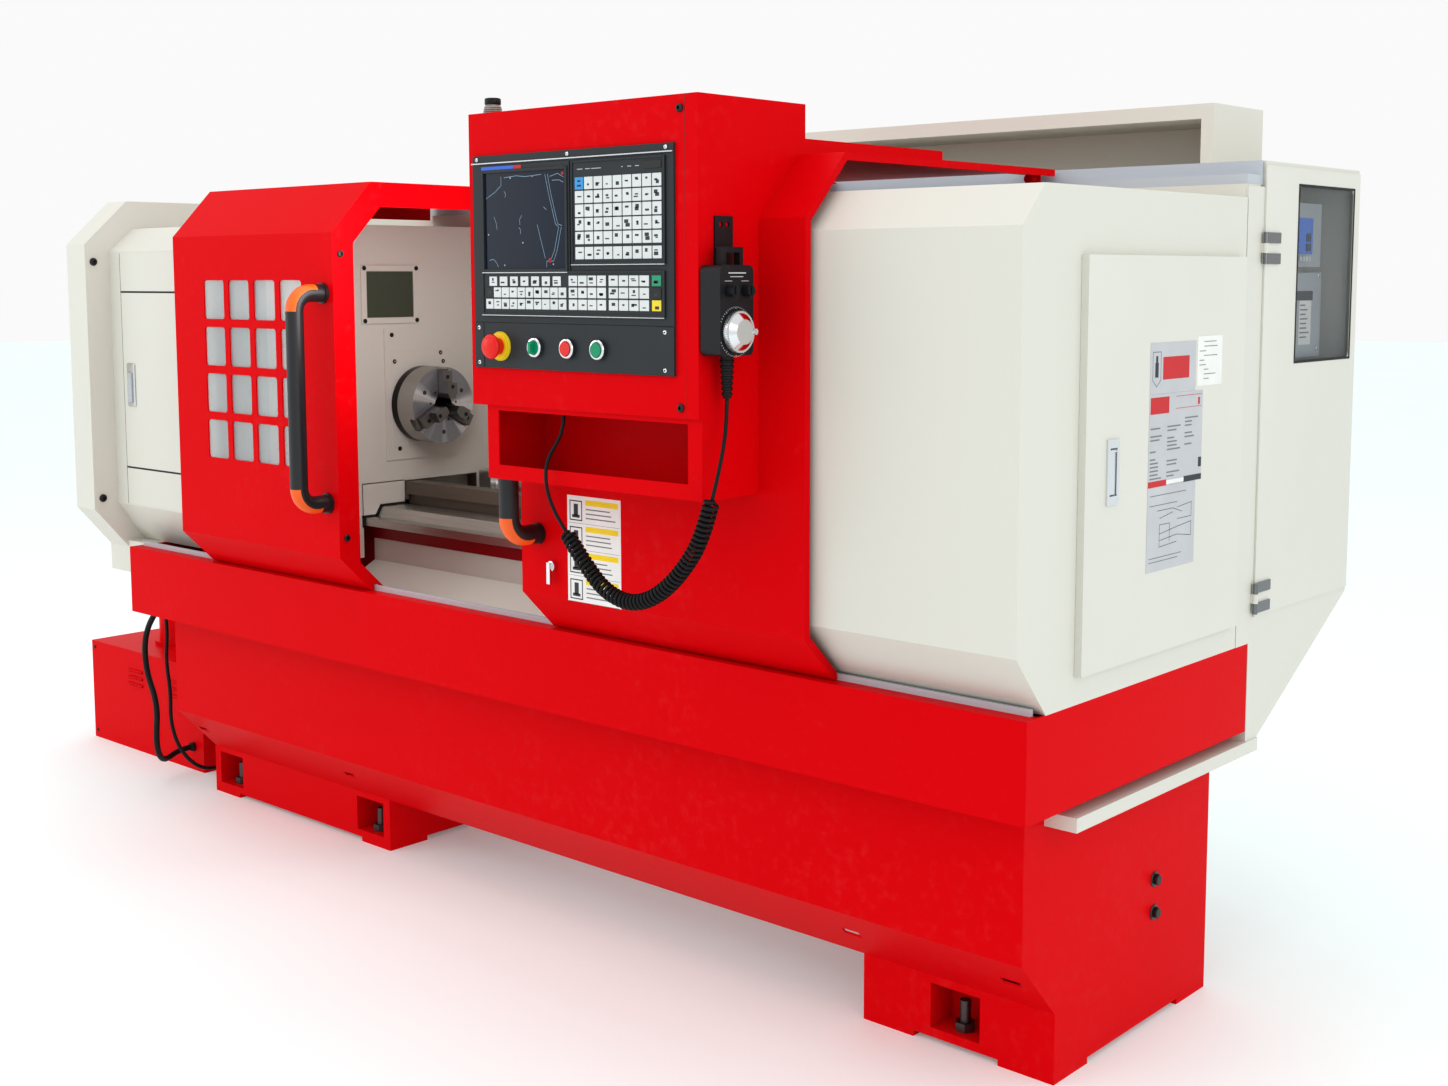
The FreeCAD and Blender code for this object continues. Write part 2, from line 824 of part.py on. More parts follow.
def spindle():
    """Hollow spindle with its front flange and the belt pulley at its tail."""
    shaft = rod("spindle_shaft", "x", ("pulley_left - 8", "axis_y", "axis_z"),
                "chuck_left - pulley_left + 8", "spindle_radius")
    nose = rod("spindle_nose", "x", ("chuck_left - nose_long", "axis_y", "axis_z"), "nose_long",
               "nose_radius")
    collar = rod("spindle_collar", "x", ("head_right + 0.5", "axis_y", "axis_z"), "14", "nose_radius")
    pulley = rod("spindle_pulley", "x", ("pulley_left", "axis_y", "axis_z"), "pulley_wide", "pulley_radius")
    rims = []
    for tag, left in (("left", "pulley_left"), ("right", "pulley_right - 4")):
        rims.append(rod(f"pulley_rim_{tag}", "x", (left, "axis_y", "axis_z"), "4", "pulley_radius + 5"))
    bore = rod("spindle_through", "x", ("pulley_left - 9", "axis_y", "axis_z"),
               "chuck_left - pulley_left + 10", "spindle_bore")
    return node("spindle", cut("spindle_bored",
                               join("spindle_solid", [shaft, nose, collar, pulley] + rims), [bore]))


def turned(thing, degrees):
    """Turn a piece about the spindle axis, from straight up."""
    centre = FreeCAD.Vector(0, value("axis_y"), value("axis_z"))
    spin = FreeCAD.Rotation(FreeCAD.Vector(1, 0, 0), degrees)
    thing.Placement = FreeCAD.Placement(FreeCAD.Vector(), spin, centre)
    return thing


def chuck():
    """Three-jaw chuck body with its bore and the three radial slots that the jaws run in."""
    body = rod("chuck_blank", "x", ("chuck_left", "axis_y", "axis_z"), "chuck_thick", "chuck_radius")
    bore = rod("chuck_bore_tool", "x", ("chuck_left - 1", "axis_y", "axis_z"), "chuck_thick + 2",
               "chuck_bore")
    tools = [bore]
    for number, degrees in enumerate(JAW_TURNS):
        slot = slab(f"jaw_slot_{number}", "x", "chuck_face - jaw_seat", "jaw_seat + 1", jaw_track("0"))
        tools.append(turned(slot, degrees - 90))
    return node("chuck_body", cut("chuck_slotted", body, tools))


def jaw_track(gap):
    """The slot's outline seen along the spindle: from the bore to beyond the rim."""
    half = f"(jaw_wide / 2 + {gap})"
    return [
        (f"axis_y - {half}", "axis_z + 4"),
        (f"axis_y + {half}", "axis_z + 4"),
        (f"axis_y + {half}", "axis_z + chuck_radius + 20"),
        (f"axis_y - {half}", "axis_z + chuck_radius + 20"),
    ]


def chuck_jaw(number, degrees):
    """A stepped jaw: a tongue in the slot and two steps in front of the chuck's face."""
    half = "(jaw_wide / 2 - fit_gap)"
    body = doc.addObject("PartDesign::Body", f"jaw_{number}_body")
    steps = (
        ("chuck_face - jaw_seat + fit_gap", "jaw_seat", "jaw_outer", half),
        ("chuck_face", "jaw_out * 0.5", "jaw_outer - 4", f"({half} - 2)"),
        ("chuck_face", "jaw_out", "jaw_inner + 34", f"({half} - 2)"),
    )
    for start, thickness, reach, wide in steps:
        outline = [
            (f"axis_y - {wide} * 0.55", "axis_z + jaw_inner"),
            (f"axis_y + {wide} * 0.55", "axis_z + jaw_inner"),
            (f"axis_y + {wide}", "axis_z + jaw_inner + 12"),
            (f"axis_y + {wide}", f"axis_z + {reach}"),
            (f"axis_y - {wide}", f"axis_z + {reach}"),
            (f"axis_y - {wide}", "axis_z + jaw_inner + 12"),
        ]
        thicken(body, "x", start, thickness, outline)
    return node(f"chuck_jaw_{number}", turned(body, degrees - 90))


def headstock_cover():
    """The painted cover round the headstock, with the wall that faces the work."""
    body = slab("cover_sheet", "x", "cover_left", "wall_right - cover_left",
                hood_ring("cover", "skin", "fixed_back"))
    wall = hood_face("cover", "fixed_back", "cover_toe_z")
    thicken(body, "x", "wall_right - skin", "skin", wall)
    plate_back = "nose_plate_front + nose_plate_wide"
    thicken(body, "x", "wall_right", "skin", [
        ("nose_plate_front", "nose_plate_low"),
        (plate_back, "nose_plate_low"),
        (plate_back, "nose_plate_high"),
        ("nose_plate_front", "nose_plate_high"),
    ])
    window = block("lamp_window_hole",
                   ("wall_right - skin - 1", "lamp_window_front + lamp_glass_inset",
                    "lamp_window_low + lamp_glass_inset"),
                   ("wall_right + 1", "lamp_window_front + lamp_window_wide - lamp_glass_inset",
                    "lamp_window_high - lamp_glass_inset"))
    nose = rod("nose_opening", "x", ("wall_right - skin - 1", "axis_y", "axis_z"), "skin * 3", "nose_hole")
    bed_hole = block("bed_opening", ("wall_right - skin - 1", "way_front - 2", "cover_toe_z - 1"),
                     ("wall_right + 1", "way_back + 2", "guide_high + 2"))
    return node("headstock_cover", cut("cover_pierced", body, [window, nose, bed_hole]))


def gear_end_cover():
    """The deeper cover over the belt: a hood, an outer end plate, an inner flange and a low belt box."""
    body = slab("gear_sheet", "x", "gear_left", "cover_left - gear_left",
                hood_ring("gear", "skin", "gear_back"))
    thicken(body, "x", "gear_left", "skin", hood_face("gear", "gear_back", "gear_toe_z"))
    thicken(body, "x", "cover_left - skin", "skin", hood_ring("gear", "gear_flange", "gear_back"))
    back = slab("gear_back_sheet", "x", "gear_left", "cover_left - gear_left", [
        ("gear_back - skin", "gear_foot_low"),
        ("gear_back", "gear_foot_low"),
        ("gear_back", "gear_roof"),
        ("gear_back - skin", "gear_roof"),
    ])
    foot_outer = block("gear_foot_outer", ("gear_left", "gear_toe_y", "gear_foot_low"),
                       ("gear_foot_right", "gear_back", "cover_toe_z - fit_gap"))
    foot_inner = block("gear_foot_inner", ("gear_left + skin", "gear_toe_y + skin", "gear_foot_low + skin"),
                       ("cover_left - skin", "gear_back - skin", "cover_toe_z + 1"))
    foot_inner_right = block("gear_foot_inner_right",
                             ("cover_left - skin - 1", "gear_toe_y + skin", "gear_foot_low + skin"),
                             ("gear_foot_right - skin", "gear_back - skin", "cover_toe_z - skin"))
    motor_hole = block("motor_opening", ("cover_left - skin - 1", "motor_y - motor_radius - 4",
                                         "gear_foot_low + 12"),
                       ("gear_foot_right + 1", "motor_y + motor_radius + 4", "cover_toe_z + 1"))
    foot = cut("gear_foot", foot_outer, [foot_inner, foot_inner_right, motor_hole])
    return node("gear_end_cover", join("gear_cover_welded", [body, back, foot]))


def spindle_motor():
    """Foot-mounted main motor on a bracket that is bolted to the pedestal's back."""
    barrel = rod("motor_barrel", "x", ("gear_foot_right + 2", "motor_y", "motor_z"), "motor_long",
                 "motor_radius")
    cowl = rod("motor_cowl", "x", ("gear_foot_right + motor_long - 30", "motor_y", "motor_z"), "60",
               "motor_radius + 4")
    feet = block("motor_feet", ("gear_foot_right + 40", "motor_y - 80", "motor_shelf"),
                 ("gear_foot_right + motor_long - 60", "motor_y + 80", "motor_z - motor_radius + 20"))
    shelf = block("motor_shelf_plate", ("base_left + 10", "pedestal_back", "motor_shelf - 12"),
                  ("base_left + 420", "motor_y + 100", "motor_shelf"))
    apron = block("motor_apron_plate", ("base_left + 10", "pedestal_back", "motor_shelf - 180"),
                  ("base_left + 420", "pedestal_back + 12", "motor_shelf"))
    terminal = block("motor_terminal_box", ("gear_foot_right + 120", "motor_y - 50",
                                            "motor_z + motor_radius - 12"),
                     ("gear_foot_right + 220", "motor_y + 50", "motor_z + motor_radius + 44"))
    shaft_hole = rod("motor_shaft_hole", "x", ("gear_foot_right - 2", "motor_y", "motor_z"), "84",
                     "motor_shaft + run_gap")
    return node("spindle_motor", cut("motor_bored",
                                     join("motor_solid", [barrel, cowl, feet, shelf, apron, terminal]),
                                     [shaft_hole]))


def motor_pulley():
    """The motor's shaft end and its smaller belt pulley."""
    shaft = rod("motor_shaft", "x", ("pulley_left", "motor_y", "motor_z"),
                "gear_foot_right + 80 - pulley_left", "motor_shaft")
    wheel = rod("motor_wheel", "x", ("pulley_left", "motor_y", "motor_z"), "pulley_wide",
                "motor_pulley_radius")
    rims = []
    for tag, left in (("left", "pulley_left"), ("right", "pulley_right - 4")):
        rims.append(rod(f"motor_rim_{tag}", "x", (left, "motor_y", "motor_z"), "4",
                        "motor_pulley_radius + 5"))
    return node("motor_pulley", join("motor_pulley_solid", [shaft, wheel] + rims))


def drive_belt():
    """The flat multi-rib belt round both pulleys: two arcs and the two straight runs tangent to them."""
    centre_low = FreeCAD.Vector(0, value("motor_y"), value("motor_z"))
    centre_high = FreeCAD.Vector(0, value("axis_y"), value("axis_z"))
    apart = centre_high - centre_low
    lean = math.atan2(apart.z, apart.y)

    def loop(inset):
        low = value("motor_pulley_radius") + inset
        high = value("pulley_radius") + inset
        swing = math.acos((low - high) / apart.Length)

        def on(centre, radius, angle):
            return centre + FreeCAD.Vector(0, radius * math.cos(angle), radius * math.sin(angle))

        a, b = lean + swing, lean - swing
        edges = [
            Part.Arc(on(centre_low, low, a), on(centre_low, low, lean + math.pi),
                     on(centre_low, low, b)).toShape(),
            Part.LineSegment(on(centre_low, low, b), on(centre_high, high, b)).toShape(),
            Part.Arc(on(centre_high, high, b), on(centre_high, high, lean),
                     on(centre_high, high, a)).toShape(),
            Part.LineSegment(on(centre_high, high, a), on(centre_low, low, a)).toShape(),
        ]
        return Part.Face(Part.Wire(edges))

    gap = value("fit_gap")
    band = loop(gap + value("belt_thick")).cut(loop(gap))
    width = value("pulley_wide") - 10
    belt = doc.addObject("Part::Feature", "belt_band")
    belt.Shape = band.extrude(FreeCAD.Vector(width, 0, 0))
    belt.Placement = FreeCAD.Placement(FreeCAD.Vector(value("pulley_left") + 5, 0, 0), FreeCAD.Rotation())
    return node("drive_belt", belt)


# ---------------------------------------------------------------------------------------------------
# Rear sheet metal: splash guard, door rails, electrical cabinet, top box
# ---------------------------------------------------------------------------------------------------


def rear_splash_guard():
    """The wall behind the machining space, folded back at the top to carry the upper rail."""
    outline = [
        ("fixed_back", "tray_high"),
        ("cabinet_front", "tray_high"),
        ("cabinet_front", "cabinet_notch"),
        ("rail_back - 6", "cabinet_notch"),
        ("rail_back - 6", "rail_low"),
        ("fixed_back", "rail_low"),
    ]
    return node("rear_splash_guard", slab("splash_sheet", "x", "rail_left", "splash_right - rail_left",
                                          outline))


def door_rails():
    """Upper rail with its upturned rear flange, and the low guide on the tray's front rim."""
    upper = slab("upper_rail", "x", "rail_left", "splash_right - rail_left", [
        ("cabinet_front + 4", "rail_low"),
        ("rail_back", "rail_low"),
        ("rail_back", "rail_high"),
        ("rail_back - 6", "rail_high"),
        ("rail_back - 6", "rail_run"),
        ("cabinet_front + 4", "rail_run"),
    ])
    lower = block("lower_rail", ("tray_left + 12", "lower_rail_y", "tray_high"),
                  ("tray_right - 12", "lower_rail_y + lower_rail_wide", "tray_high + lower_rail_high"))
    return node("door_rails", group("door_rails", [upper, lower]))


def cabinet_line(depth, lean):
    """The cabinet's outline at a depth inside its sheet."""
    notch = "cabinet_front + 46.5"
    return [
        (f"cabinet_front + {depth}", f"tray_high + {depth}"),
        (f"{notch} + {depth}", f"tray_high + {depth}"),
        (f"{notch} + {depth}", f"cabinet_keel_z + {depth}"),
        (f"cabinet_keel_y - {depth} * tan({lean} / 2)", f"cabinet_keel_z + {depth}"),
        (f"cabinet_back - {depth}", f"cabinet_break + {depth} * tan((90 deg - {lean}) / 2)"),
        (f"cabinet_back - {depth}", f"cabinet_roof - {depth}"),
        (f"rail_back + 2 + {depth}", f"cabinet_roof - {depth}"),
        (f"rail_back + 2 + {depth}", f"cabinet_notch - {depth}"),
        (f"cabinet_front + {depth}", f"cabinet_notch - {depth}"),
    ]


def rear_cabinet():
    """The electrical cabinet: a folded shell, its end walls, a mounting wall and a ledge under the tray."""
    outside, inside = cabinet_line("0", "cabinet_lean"), cabinet_line("skin", "cabinet_lean")
    body = slab("cabinet_shell", "x", "cabinet_left", "tail_right - cabinet_left", outside, inside)
    for start in ("cabinet_left", "tail_right - skin", "tail_right - drive_deep"):
        thicken(body, "x", start, "skin", outside)
    ledge = block("cabinet_ledge", ("base_right", "strip_front", "strip_low"),
                  ("strip_right", "cabinet_keel_y", "cabinet_keel_z"))
    knuckles = []
    for number, low in enumerate(CABINET_HINGES):
        knuckles.append(rod(f"cabinet_knuckle_{number}", "z", ("hinge_x", "hinge_y", f"{low} + 18"),
                            "16", "hinge_radius"))
        knuckles.append(block(f"cabinet_leaf_{number}", ("tail_right", "hinge_y - 4", f"{low} + 18"),
                              ("hinge_x", "hinge_y", f"{low} + 34")))
    doorway = block("cabinet_doorway", ("tail_right - skin - 1", "cabinet_door_front + tail_land",
                                        "cabinet_door_low + tail_land"),
                    ("tail_right + 1", "cabinet_door_back - tail_land", "cabinet_door_high - tail_land"))
    shell = cut("cabinet_cut", body, [doorway])
    return node("rear_cabinet", join("cabinet_welded", [shell, ledge] + knuckles))


def cabinet_door():
    """The cabinet's side door, with the window opening and two butt hinges."""
    leaf = block("cabinet_leaf", ("tail_right + fit_gap", "cabinet_door_front", "cabinet_door_low"),
                 ("tail_right + fit_gap + skin", "cabinet_door_back", "cabinet_door_high"))
    hole = rounded("view_hole_rounded", block("view_hole", ("tail_right - 1", "view_front", "view_low"),
                                              ("tail_right + skin + 2", "view_front + view_wide",
                                               "view_high")),
                   "view_round", FreeCAD.Vector(1, 0, 0))
    pieces = [cut("cabinet_leaf_cut", leaf, [hole])]
    for number, low in enumerate(CABINET_HINGES):
        for part, start in (("low", f"{low}"), ("high", f"{low} + 34 + fit_gap")):
            tag = f"{number}_{part}"
            length = "18 - fit_gap"
            pieces.append(rod(f"door_knuckle_{tag}", "z", ("hinge_x", "hinge_y", start), length,
                              "hinge_radius"))
            pieces.append(block(f"door_leaf_{tag}", ("tail_right + fit_gap + skin", "hinge_y", start),
                                ("tail_right + fit_gap + skin + 3", "cabinet_door_front + 54",
                                 f"{start} + {length}")))
    return node("cabinet_door", join("cabinet_door_welded", pieces))


def cabinet_window():
    """The clear pane held against the cabinet door's inner face."""
    pane = block("view_pane", ("tail_right - glass_thick", "view_front - 11", "view_low - 12"),
                 ("tail_right + fit_gap", "view_front + view_wide + 11", "view_high + 10"))
    return node("cabinet_window", pane)


def drive_units():
    """Two drive units on the mounting wall behind the window, one above the other."""
    back = "tail_right - drive_deep + skin"
    units = [
        block("upper_unit", (back, "view_front + 10", "view_low + 163"),
              ("tail_right - 20", "view_front + 150", "view_low + 273")),
        block("upper_keypad", ("tail_right - 20", "view_front + 44", "view_low + 183"),
              ("tail_right - 16", "view_front + 106", "view_low + 249")),
        block("lower_unit", (back, "view_front + 6", "view_low + 5"),
              ("tail_right - 24", "view_front + 168", "view_low + 153")),
        block("lower_shelf", (back, "view_front + 6", "view_low + 153"),
              ("tail_right - 60", "view_front + 168", "view_low + 163")),
    ]
    return node("drive_units", join("drive_units_joined", units))


def top_box():
    """The long cable box on the cabinet's roof, open along its front."""
    outer = block("top_box_outer", ("box_left", "box_front", "cabinet_roof"),
                  ("box_right", "box_back", "box_roof"))
    mouth = block("top_box_mouth", ("box_left + box_cheek", "box_front - 1", "box_mouth_low"),
                  ("box_right - box_cheek", "box_back - skin", "box_mouth_high"))
    return node("top_box", cut("top_box_folded", outer, [mouth]))


# ---------------------------------------------------------------------------------------------------
# Tail guard with its hinged end door
# ---------------------------------------------------------------------------------------------------

def tail_guard():
    """The fixed guard at the tailstock end, with a doorway in its end wall."""
    body = slab("tail_sheet", "x", "tail_left", "tail_right - tail_left",
                hood_ring("tail", "skin", "fixed_back"))
    thicken(body, "x", "tail_left", "skin", hood_ring("tail", "frame_wide * 0.7", "fixed_back"))
    thicken(body, "x", "tail_right - skin", "skin", hood_face("tail", "fixed_back", "tail_toe_z"))
    doorway = block("tail_doorway", ("tail_right - skin - 1", "tail_door_front + tail_land",
                                     "tail_door_low + tail_land"),
                    ("tail_right + 1", "tail_door_back - tail_land", "tail_door_high - tail_land"))
    pieces = [cut("tail_cut", body, [doorway])]
    for number, low in enumerate(TAIL_HINGES):
        pieces.append(rod(f"tail_knuckle_{number}", "z", ("tail_pin_x", "tail_pin_y", f"{low} + 22"),
                          "20", "pin_radius"))
        pieces.append(block(f"tail_leaf_{number}", ("tail_right", "tail_pin_y", f"{low} + 22"),
                            ("tail_pin_x", "tail_pin_y + 4", f"{low} + 42")))
    return node("tail_guard", join("tail_guard_welded", pieces))


def tail_door():
    """A pan-shaped door with a recess for its flush latch."""
    face = "tail_right + tail_door_proud"
    pan = block("tail_pan", ("tail_right + fit_gap", "tail_door_front", "tail_door_low"),
                (face, "tail_door_back", "tail_door_high"))
    inside = block("tail_pan_inside", ("tail_right - 1", "tail_door_front + skin", "tail_door_low + skin"),
                   (f"{face} - skin", "tail_door_back - skin", "tail_door_high - skin"))
    shell = cut("tail_pan_folded", pan, [inside])
    bezel = block("latch_bezel", (face, "latch_y - latch_wide / 2", "latch_z - latch_high / 2"),
                  (f"{face} + skin", "latch_y + latch_wide / 2", "latch_z + latch_high / 2"))
    dish = block("latch_dish", (f"{face} - 14", "latch_y - latch_wide / 2", "latch_z - latch_high / 2"),
                 (face, "latch_y + latch_wide / 2", "latch_z + latch_high / 2"))
    recess = block("latch_recess", (f"{face} - 11", "latch_y - paddle_wide / 2 - 2",
                                    "latch_z - paddle_high / 2 - 2"),
                   (f"{face} + skin + 1", "latch_y + paddle_wide / 2 + 2", "latch_z + paddle_high / 2 + 2"))
    pieces = [shell, bezel, dish]
    for number, low in enumerate(TAIL_HINGES):
        for part, start in (("low", f"{low}"), ("high", f"{low} + 42 + fit_gap")):
            tag = f"{number}_{part}"
            pieces.append(rod(f"pan_knuckle_{tag}", "z", ("tail_pin_x", "tail_pin_y", start),
                              "22 - fit_gap", "pin_radius"))
            pieces.append(block(f"pan_leaf_{tag}", ("tail_pin_x - 2", "tail_door_back - skin", start),
                                ("tail_pin_x + 4", "tail_pin_y", f"{start} + 22 - fit_gap")))
    return node("tail_door", cut("tail_door_cut", join("tail_door_welded", pieces), [recess]))


def tail_latch():
    """The latch's paddle: a flat pull on a cross pin at its top."""
    face = "tail_right + tail_door_proud"
    paddle = block("paddle_plate", (f"{face} - 3", "latch_y - paddle_wide / 2",
                                    "latch_z - paddle_high / 2"),
                   (f"{face} + 1", "latch_y + paddle_wide / 2", "latch_z + paddle_high / 2 - 2"))
    boss = rod("paddle_boss", "y", (f"{face} - 1", "latch_y - paddle_wide / 2 - 2 + run_gap",
                                    "latch_z + paddle_high / 2 - 3"),
               "paddle_wide + 4 - 2 * run_gap", "3")
    return node("tail_latch", join("paddle_joined", [paddle, boss]))


# ---------------------------------------------------------------------------------------------------
# Sliding doors
# ---------------------------------------------------------------------------------------------------


def sliding_door(label, left, length, right_depth, right_sill, tools):
    """A hood-shaped door: skin, a frame at each end, roller tabs over the upper rail."""
    right = f"{left} + {length}"
    body = slab(label + "_sheet", "x", left, length, hood_ring("door", "skin", "door_back"))
    thicken(body, "x", left, "skin", hood_ring("door", "frame_wide", "door_back", "sill_wide"))
    thicken(body, "x", f"{right} - skin", "skin", hood_ring("door", right_depth, "door_back", right_sill))
    channel = block(label + "_guide_slot", (f"{left} - 1", "lower_rail_y - 2", "tray_high"),
                    (f"{right} + 1", "lower_rail_y + lower_rail_wide + 2",
                     "tray_high + lower_rail_high + 2"))
    pieces = [cut(label + "_cut", body, tools + [channel])]
    for tag, start in (("left", f"{left} + 40"), ("right", f"{right} - 40 - tab_wide")):
        name = f"{label}_{tag}"
        middle = f"{start} + tab_wide / 2"
        pieces.append(block(name + "_tab", (start, "door_back - 10", "door_roof - skin"),
                            (f"{start} + tab_wide", "tab_back", "door_roof")))
        pieces.append(block(name + "_hanger", (f"{middle} - 12", "tab_back - 14", "rail_run + 3"),
                            (f"{middle} + 12", "tab_back - 10", "door_roof - skin")))
        pieces.append(rod(name + "_roller", "y", (middle, "tab_back - 34", "rail_run + 8.8"), "20", "8.5"))
    return node(label, join(label + "_welded", pieces))


def left_door():
    """The left door with its grid of sixteen rounded window openings."""
    panes = []
    for column in range(4):
        for row in range(4):
            left = f"pane_left + {column} * pane_step_x"
            low = f"pane_low + {row} * pane_step_z"
            pane = block(f"pane_{column}_{row}", (left, "door_front - 1", low),
                         (f"{left} + pane_wide", "door_front + skin + 1", f"{low} + pane_high"))
            panes.append(rounded(f"pane_{column}_{row}_round", pane, "pane_round", FreeCAD.Vector(0, 1, 0)))
    return sliding_door("left_door", "left_door_left", "left_door_long", "frame_wide", "sill_wide", panes)


def left_glazing():
    """One clear sheet behind the whole grid."""
    sheet_back = "door_front + skin"
    pane = block("glazing_sheet", ("pane_left - 12", sheet_back, "pane_low - 12"),
                 ("pane_left + 3 * pane_step_x + pane_wide + 12", f"{sheet_back} + glass_thick",
                  "pane_low + 3 * pane_step_z + pane_high + 12"))
    return node("left_glazing", pane)


def right_door():
    """The right door: the same hood without windows, and a shallow right lip that clears the tail guard."""
    mounts = rod("console_cable_hole", "y", ("console_cable_x", "door_front - 1", "console_low + 60"),
                 "skin + 2", "cable_hole")
    return sliding_door("right_door", "right_door_left", "right_door_long", "lip_deep", "lip_deep",
                        [mounts])


def handle(label, x, low, high, foot_radius):
    """A round bar with two bent ends that stand on the door's face."""
    bar_y = "door_front - grip_reach"
    bend_y = f"{bar_y} + grip_bend"
    pieces = [rod(label + "_bar", "z", (x, bar_y, f"{low} + grip_bend"),
                  f"({high}) - ({low}) - 2 * grip_bend", "grip_radius")]
    ends = (
        ("low", low, f"{low} + grip_bend", (FreeCAD.Vector(0, 0, -1), FreeCAD.Vector(0, -1, 0),
                                            FreeCAD.Vector(-1, 0, 0))),
        ("high", high, f"{high} - grip_bend", (FreeCAD.Vector(0, 0, 1), FreeCAD.Vector(0, -1, 0),
                                               FreeCAD.Vector(1, 0, 0))),
    )
    for tag, leg_z, bend_z, ways in ends:
        pieces.append(rod(f"{label}_{tag}_leg", "y", (x, bend_y, leg_z), f"door_front - ({bend_y})",
                          "grip_radius"))
        pieces.append(rod(f"{label}_{tag}_foot", "y", (x, "door_front - 6", leg_z), "6", foot_radius))
        elbow = doc.addObject("Part::Torus", f"{label}_{tag}_elbow")
        bind(elbow, "Radius1", "grip_bend")
        bind(elbow, "Radius2", "grip_radius")
        elbow.Angle3 = 90
        elbow.Placement.Rotation = FreeCAD.Rotation(*ways, "XYZ")
        place(elbow, (x, bend_y, bend_z))
        pieces.append(elbow)
    return node(label, join(label + "_joined", pieces))


def door_lock():
    """The small cam lock on the right door: a round rose and a hanging lever."""
    rose = rod("lock_rose", "y", ("lock_x", "door_front - 8", "lock_z"), "8 - fit_gap", "9")
    lever = block("lock_lever", ("lock_x - 4", "door_front - 14", "lock_z - 30"),
                  ("lock_x + 4", "door_front - 8", "lock_z + 7"))
    return node("door_lock", join("lock_joined", [rose, lever]))


# ---------------------------------------------------------------------------------------------------
# Operator's box, its panel and the handwheel pendant
# ---------------------------------------------------------------------------------------------------


def control_box():
    """The box on the right door, the open storage tray below it and the cable duct over the door's roof."""
    outside = [
        ("console_front", "console_low"),
        ("door_front", "console_low"),
        ("door_front", "door_high_break"),
        ("door_brow_y", "door_roof"),
        ("console_back", "door_roof"),
        ("console_back", "console_high"),
        ("console_front", "console_high"),
    ]
    inside = [
        ("console_front + skin", "console_low + skin"),
        ("door_front - skin", "console_low + skin"),
        ("door_front - skin", "door_high_break + skin * tan(door_brow_lean / 2)"),
        ("door_brow_y - skin * tan((90 deg - door_brow_lean) / 2)", "door_roof + skin"),
        ("console_back - skin", "door_roof + skin"),
        ("console_back - skin", "console_high - skin"),
        ("console_front + skin", "console_high - skin"),
    ]
    body = slab("console_shell", "x", "console_left", "console_right - console_left", outside, inside)
    thicken(body, "x", "console_left", "skin", outside)
    thicken(body, "x", "console_right - skin", "skin", outside)
    store = block("store_outer", ("store_left", "store_front", "store_low"),
                  ("console_right", "door_front", "console_low"))
    store_inside = block("store_inside", ("store_left + skin", "store_front + skin", "store_low + skin"),
                         ("console_right - skin", "door_front - skin", "console_low"))
    mouth = block("store_mouth", ("mouth_left", "store_front - 1", "mouth_low"),
                  ("mouth_right", "store_front + skin + 1", "mouth_high"))
    tray = cut("store_folded", store, [store_inside, mouth])
    duct = block("duct_outer", ("console_right - 170", "console_back", "door_roof"),
                 ("console_right", "duct_back", "duct_high"))
    duct_inside = block("duct_inside", ("console_right - 170 + skin", "console_back - skin - 1",
                                        "door_roof + skin"),
                        ("console_right - skin", "duct_back + 1", "duct_high - skin"))
    entry = rod("console_entry", "y", ("console_cable_x", "door_front - skin - 1", "console_low + 60"),
                "skin + 2", "cable_hole")
    welded = join("console_welded", [body, tray, duct])
    return node("control_box", cut("console_cut", welded, [duct_inside, entry]))


BUTTONS = (("stop_x", "stop_ring", "stop_collar"), ("selector_x", "bezel_radius", "bezel_deep"),
           ("red_x", "bezel_radius", "bezel_deep"), ("green_x", "bezel_radius", "bezel_deep"))


def control_panel():
    """The dark front plate in two halves, with raised key fields and the buttons' collars."""
    lower = block("panel_lower", ("panel_left", "panel_face", "panel_low"),
                  ("panel_right", "console_front", "panel_split - 1"))
    upper = block("panel_upper", ("panel_left", "panel_face", "panel_split"),
                  ("panel_right", "console_front", "panel_high"))
    bridge = block("panel_bridge", ("panel_left", "panel_face + 1.5", "panel_low"),
                   ("panel_right", "console_front", "panel_high"))
    frame = block("screen_frame", ("screen_left - 12", "panel_face - key_plate", "screen_low - 12"),
                  ("screen_right + 9", "panel_face", "screen_high + 12"))
    fields = [
        block("right_keys", ("keys_left", "panel_face - key_plate", "keys_low"),
              ("keys_right", "panel_face", "keys_high")),
        block("lower_keys", ("screen_left - 6", "panel_face - key_plate", "lower_keys_low"),
              ("keys_right", "panel_face", "lower_keys_high")),
    ]
    collars = []
    holes = [block("screen_recess", ("screen_left", "panel_face - key_plate - 1", "screen_low"),
                   ("screen_right", "panel_face + key_plate", "screen_high"))]
    for x, radius, depth in BUTTONS:
        collars.append(rod(f"collar_{x}", "y", (x, f"panel_face - {depth}", "button_z"), depth, radius))
        holes.append(rod(f"collar_hole_{x}", "y", (x, f"panel_face - {depth} - 1", "button_z"),
                         f"panel_thick + {depth} + 2", "cap_radius + run_gap"))
    return node("control_panel", cut("panel_cut",
                                     join("panel_joined",
                                          [lower, upper, bridge, frame] + fields + collars), holes))


def screen():
    """The display glass, set in the panel's recess."""
    glass = block("screen_glass", ("screen_left", "panel_face", "screen_low"),
                  ("screen_right", "panel_face + key_plate", "screen_high"))
    return node("screen", glass)


def push_button(label, x):
    """A flat cap that slides in its collar."""
    return node(label, rod(label + "_cap", "y", (x, "panel_face - bezel_deep - 4", "button_z"),
                           "bezel_deep + 3.5", "cap_radius"))


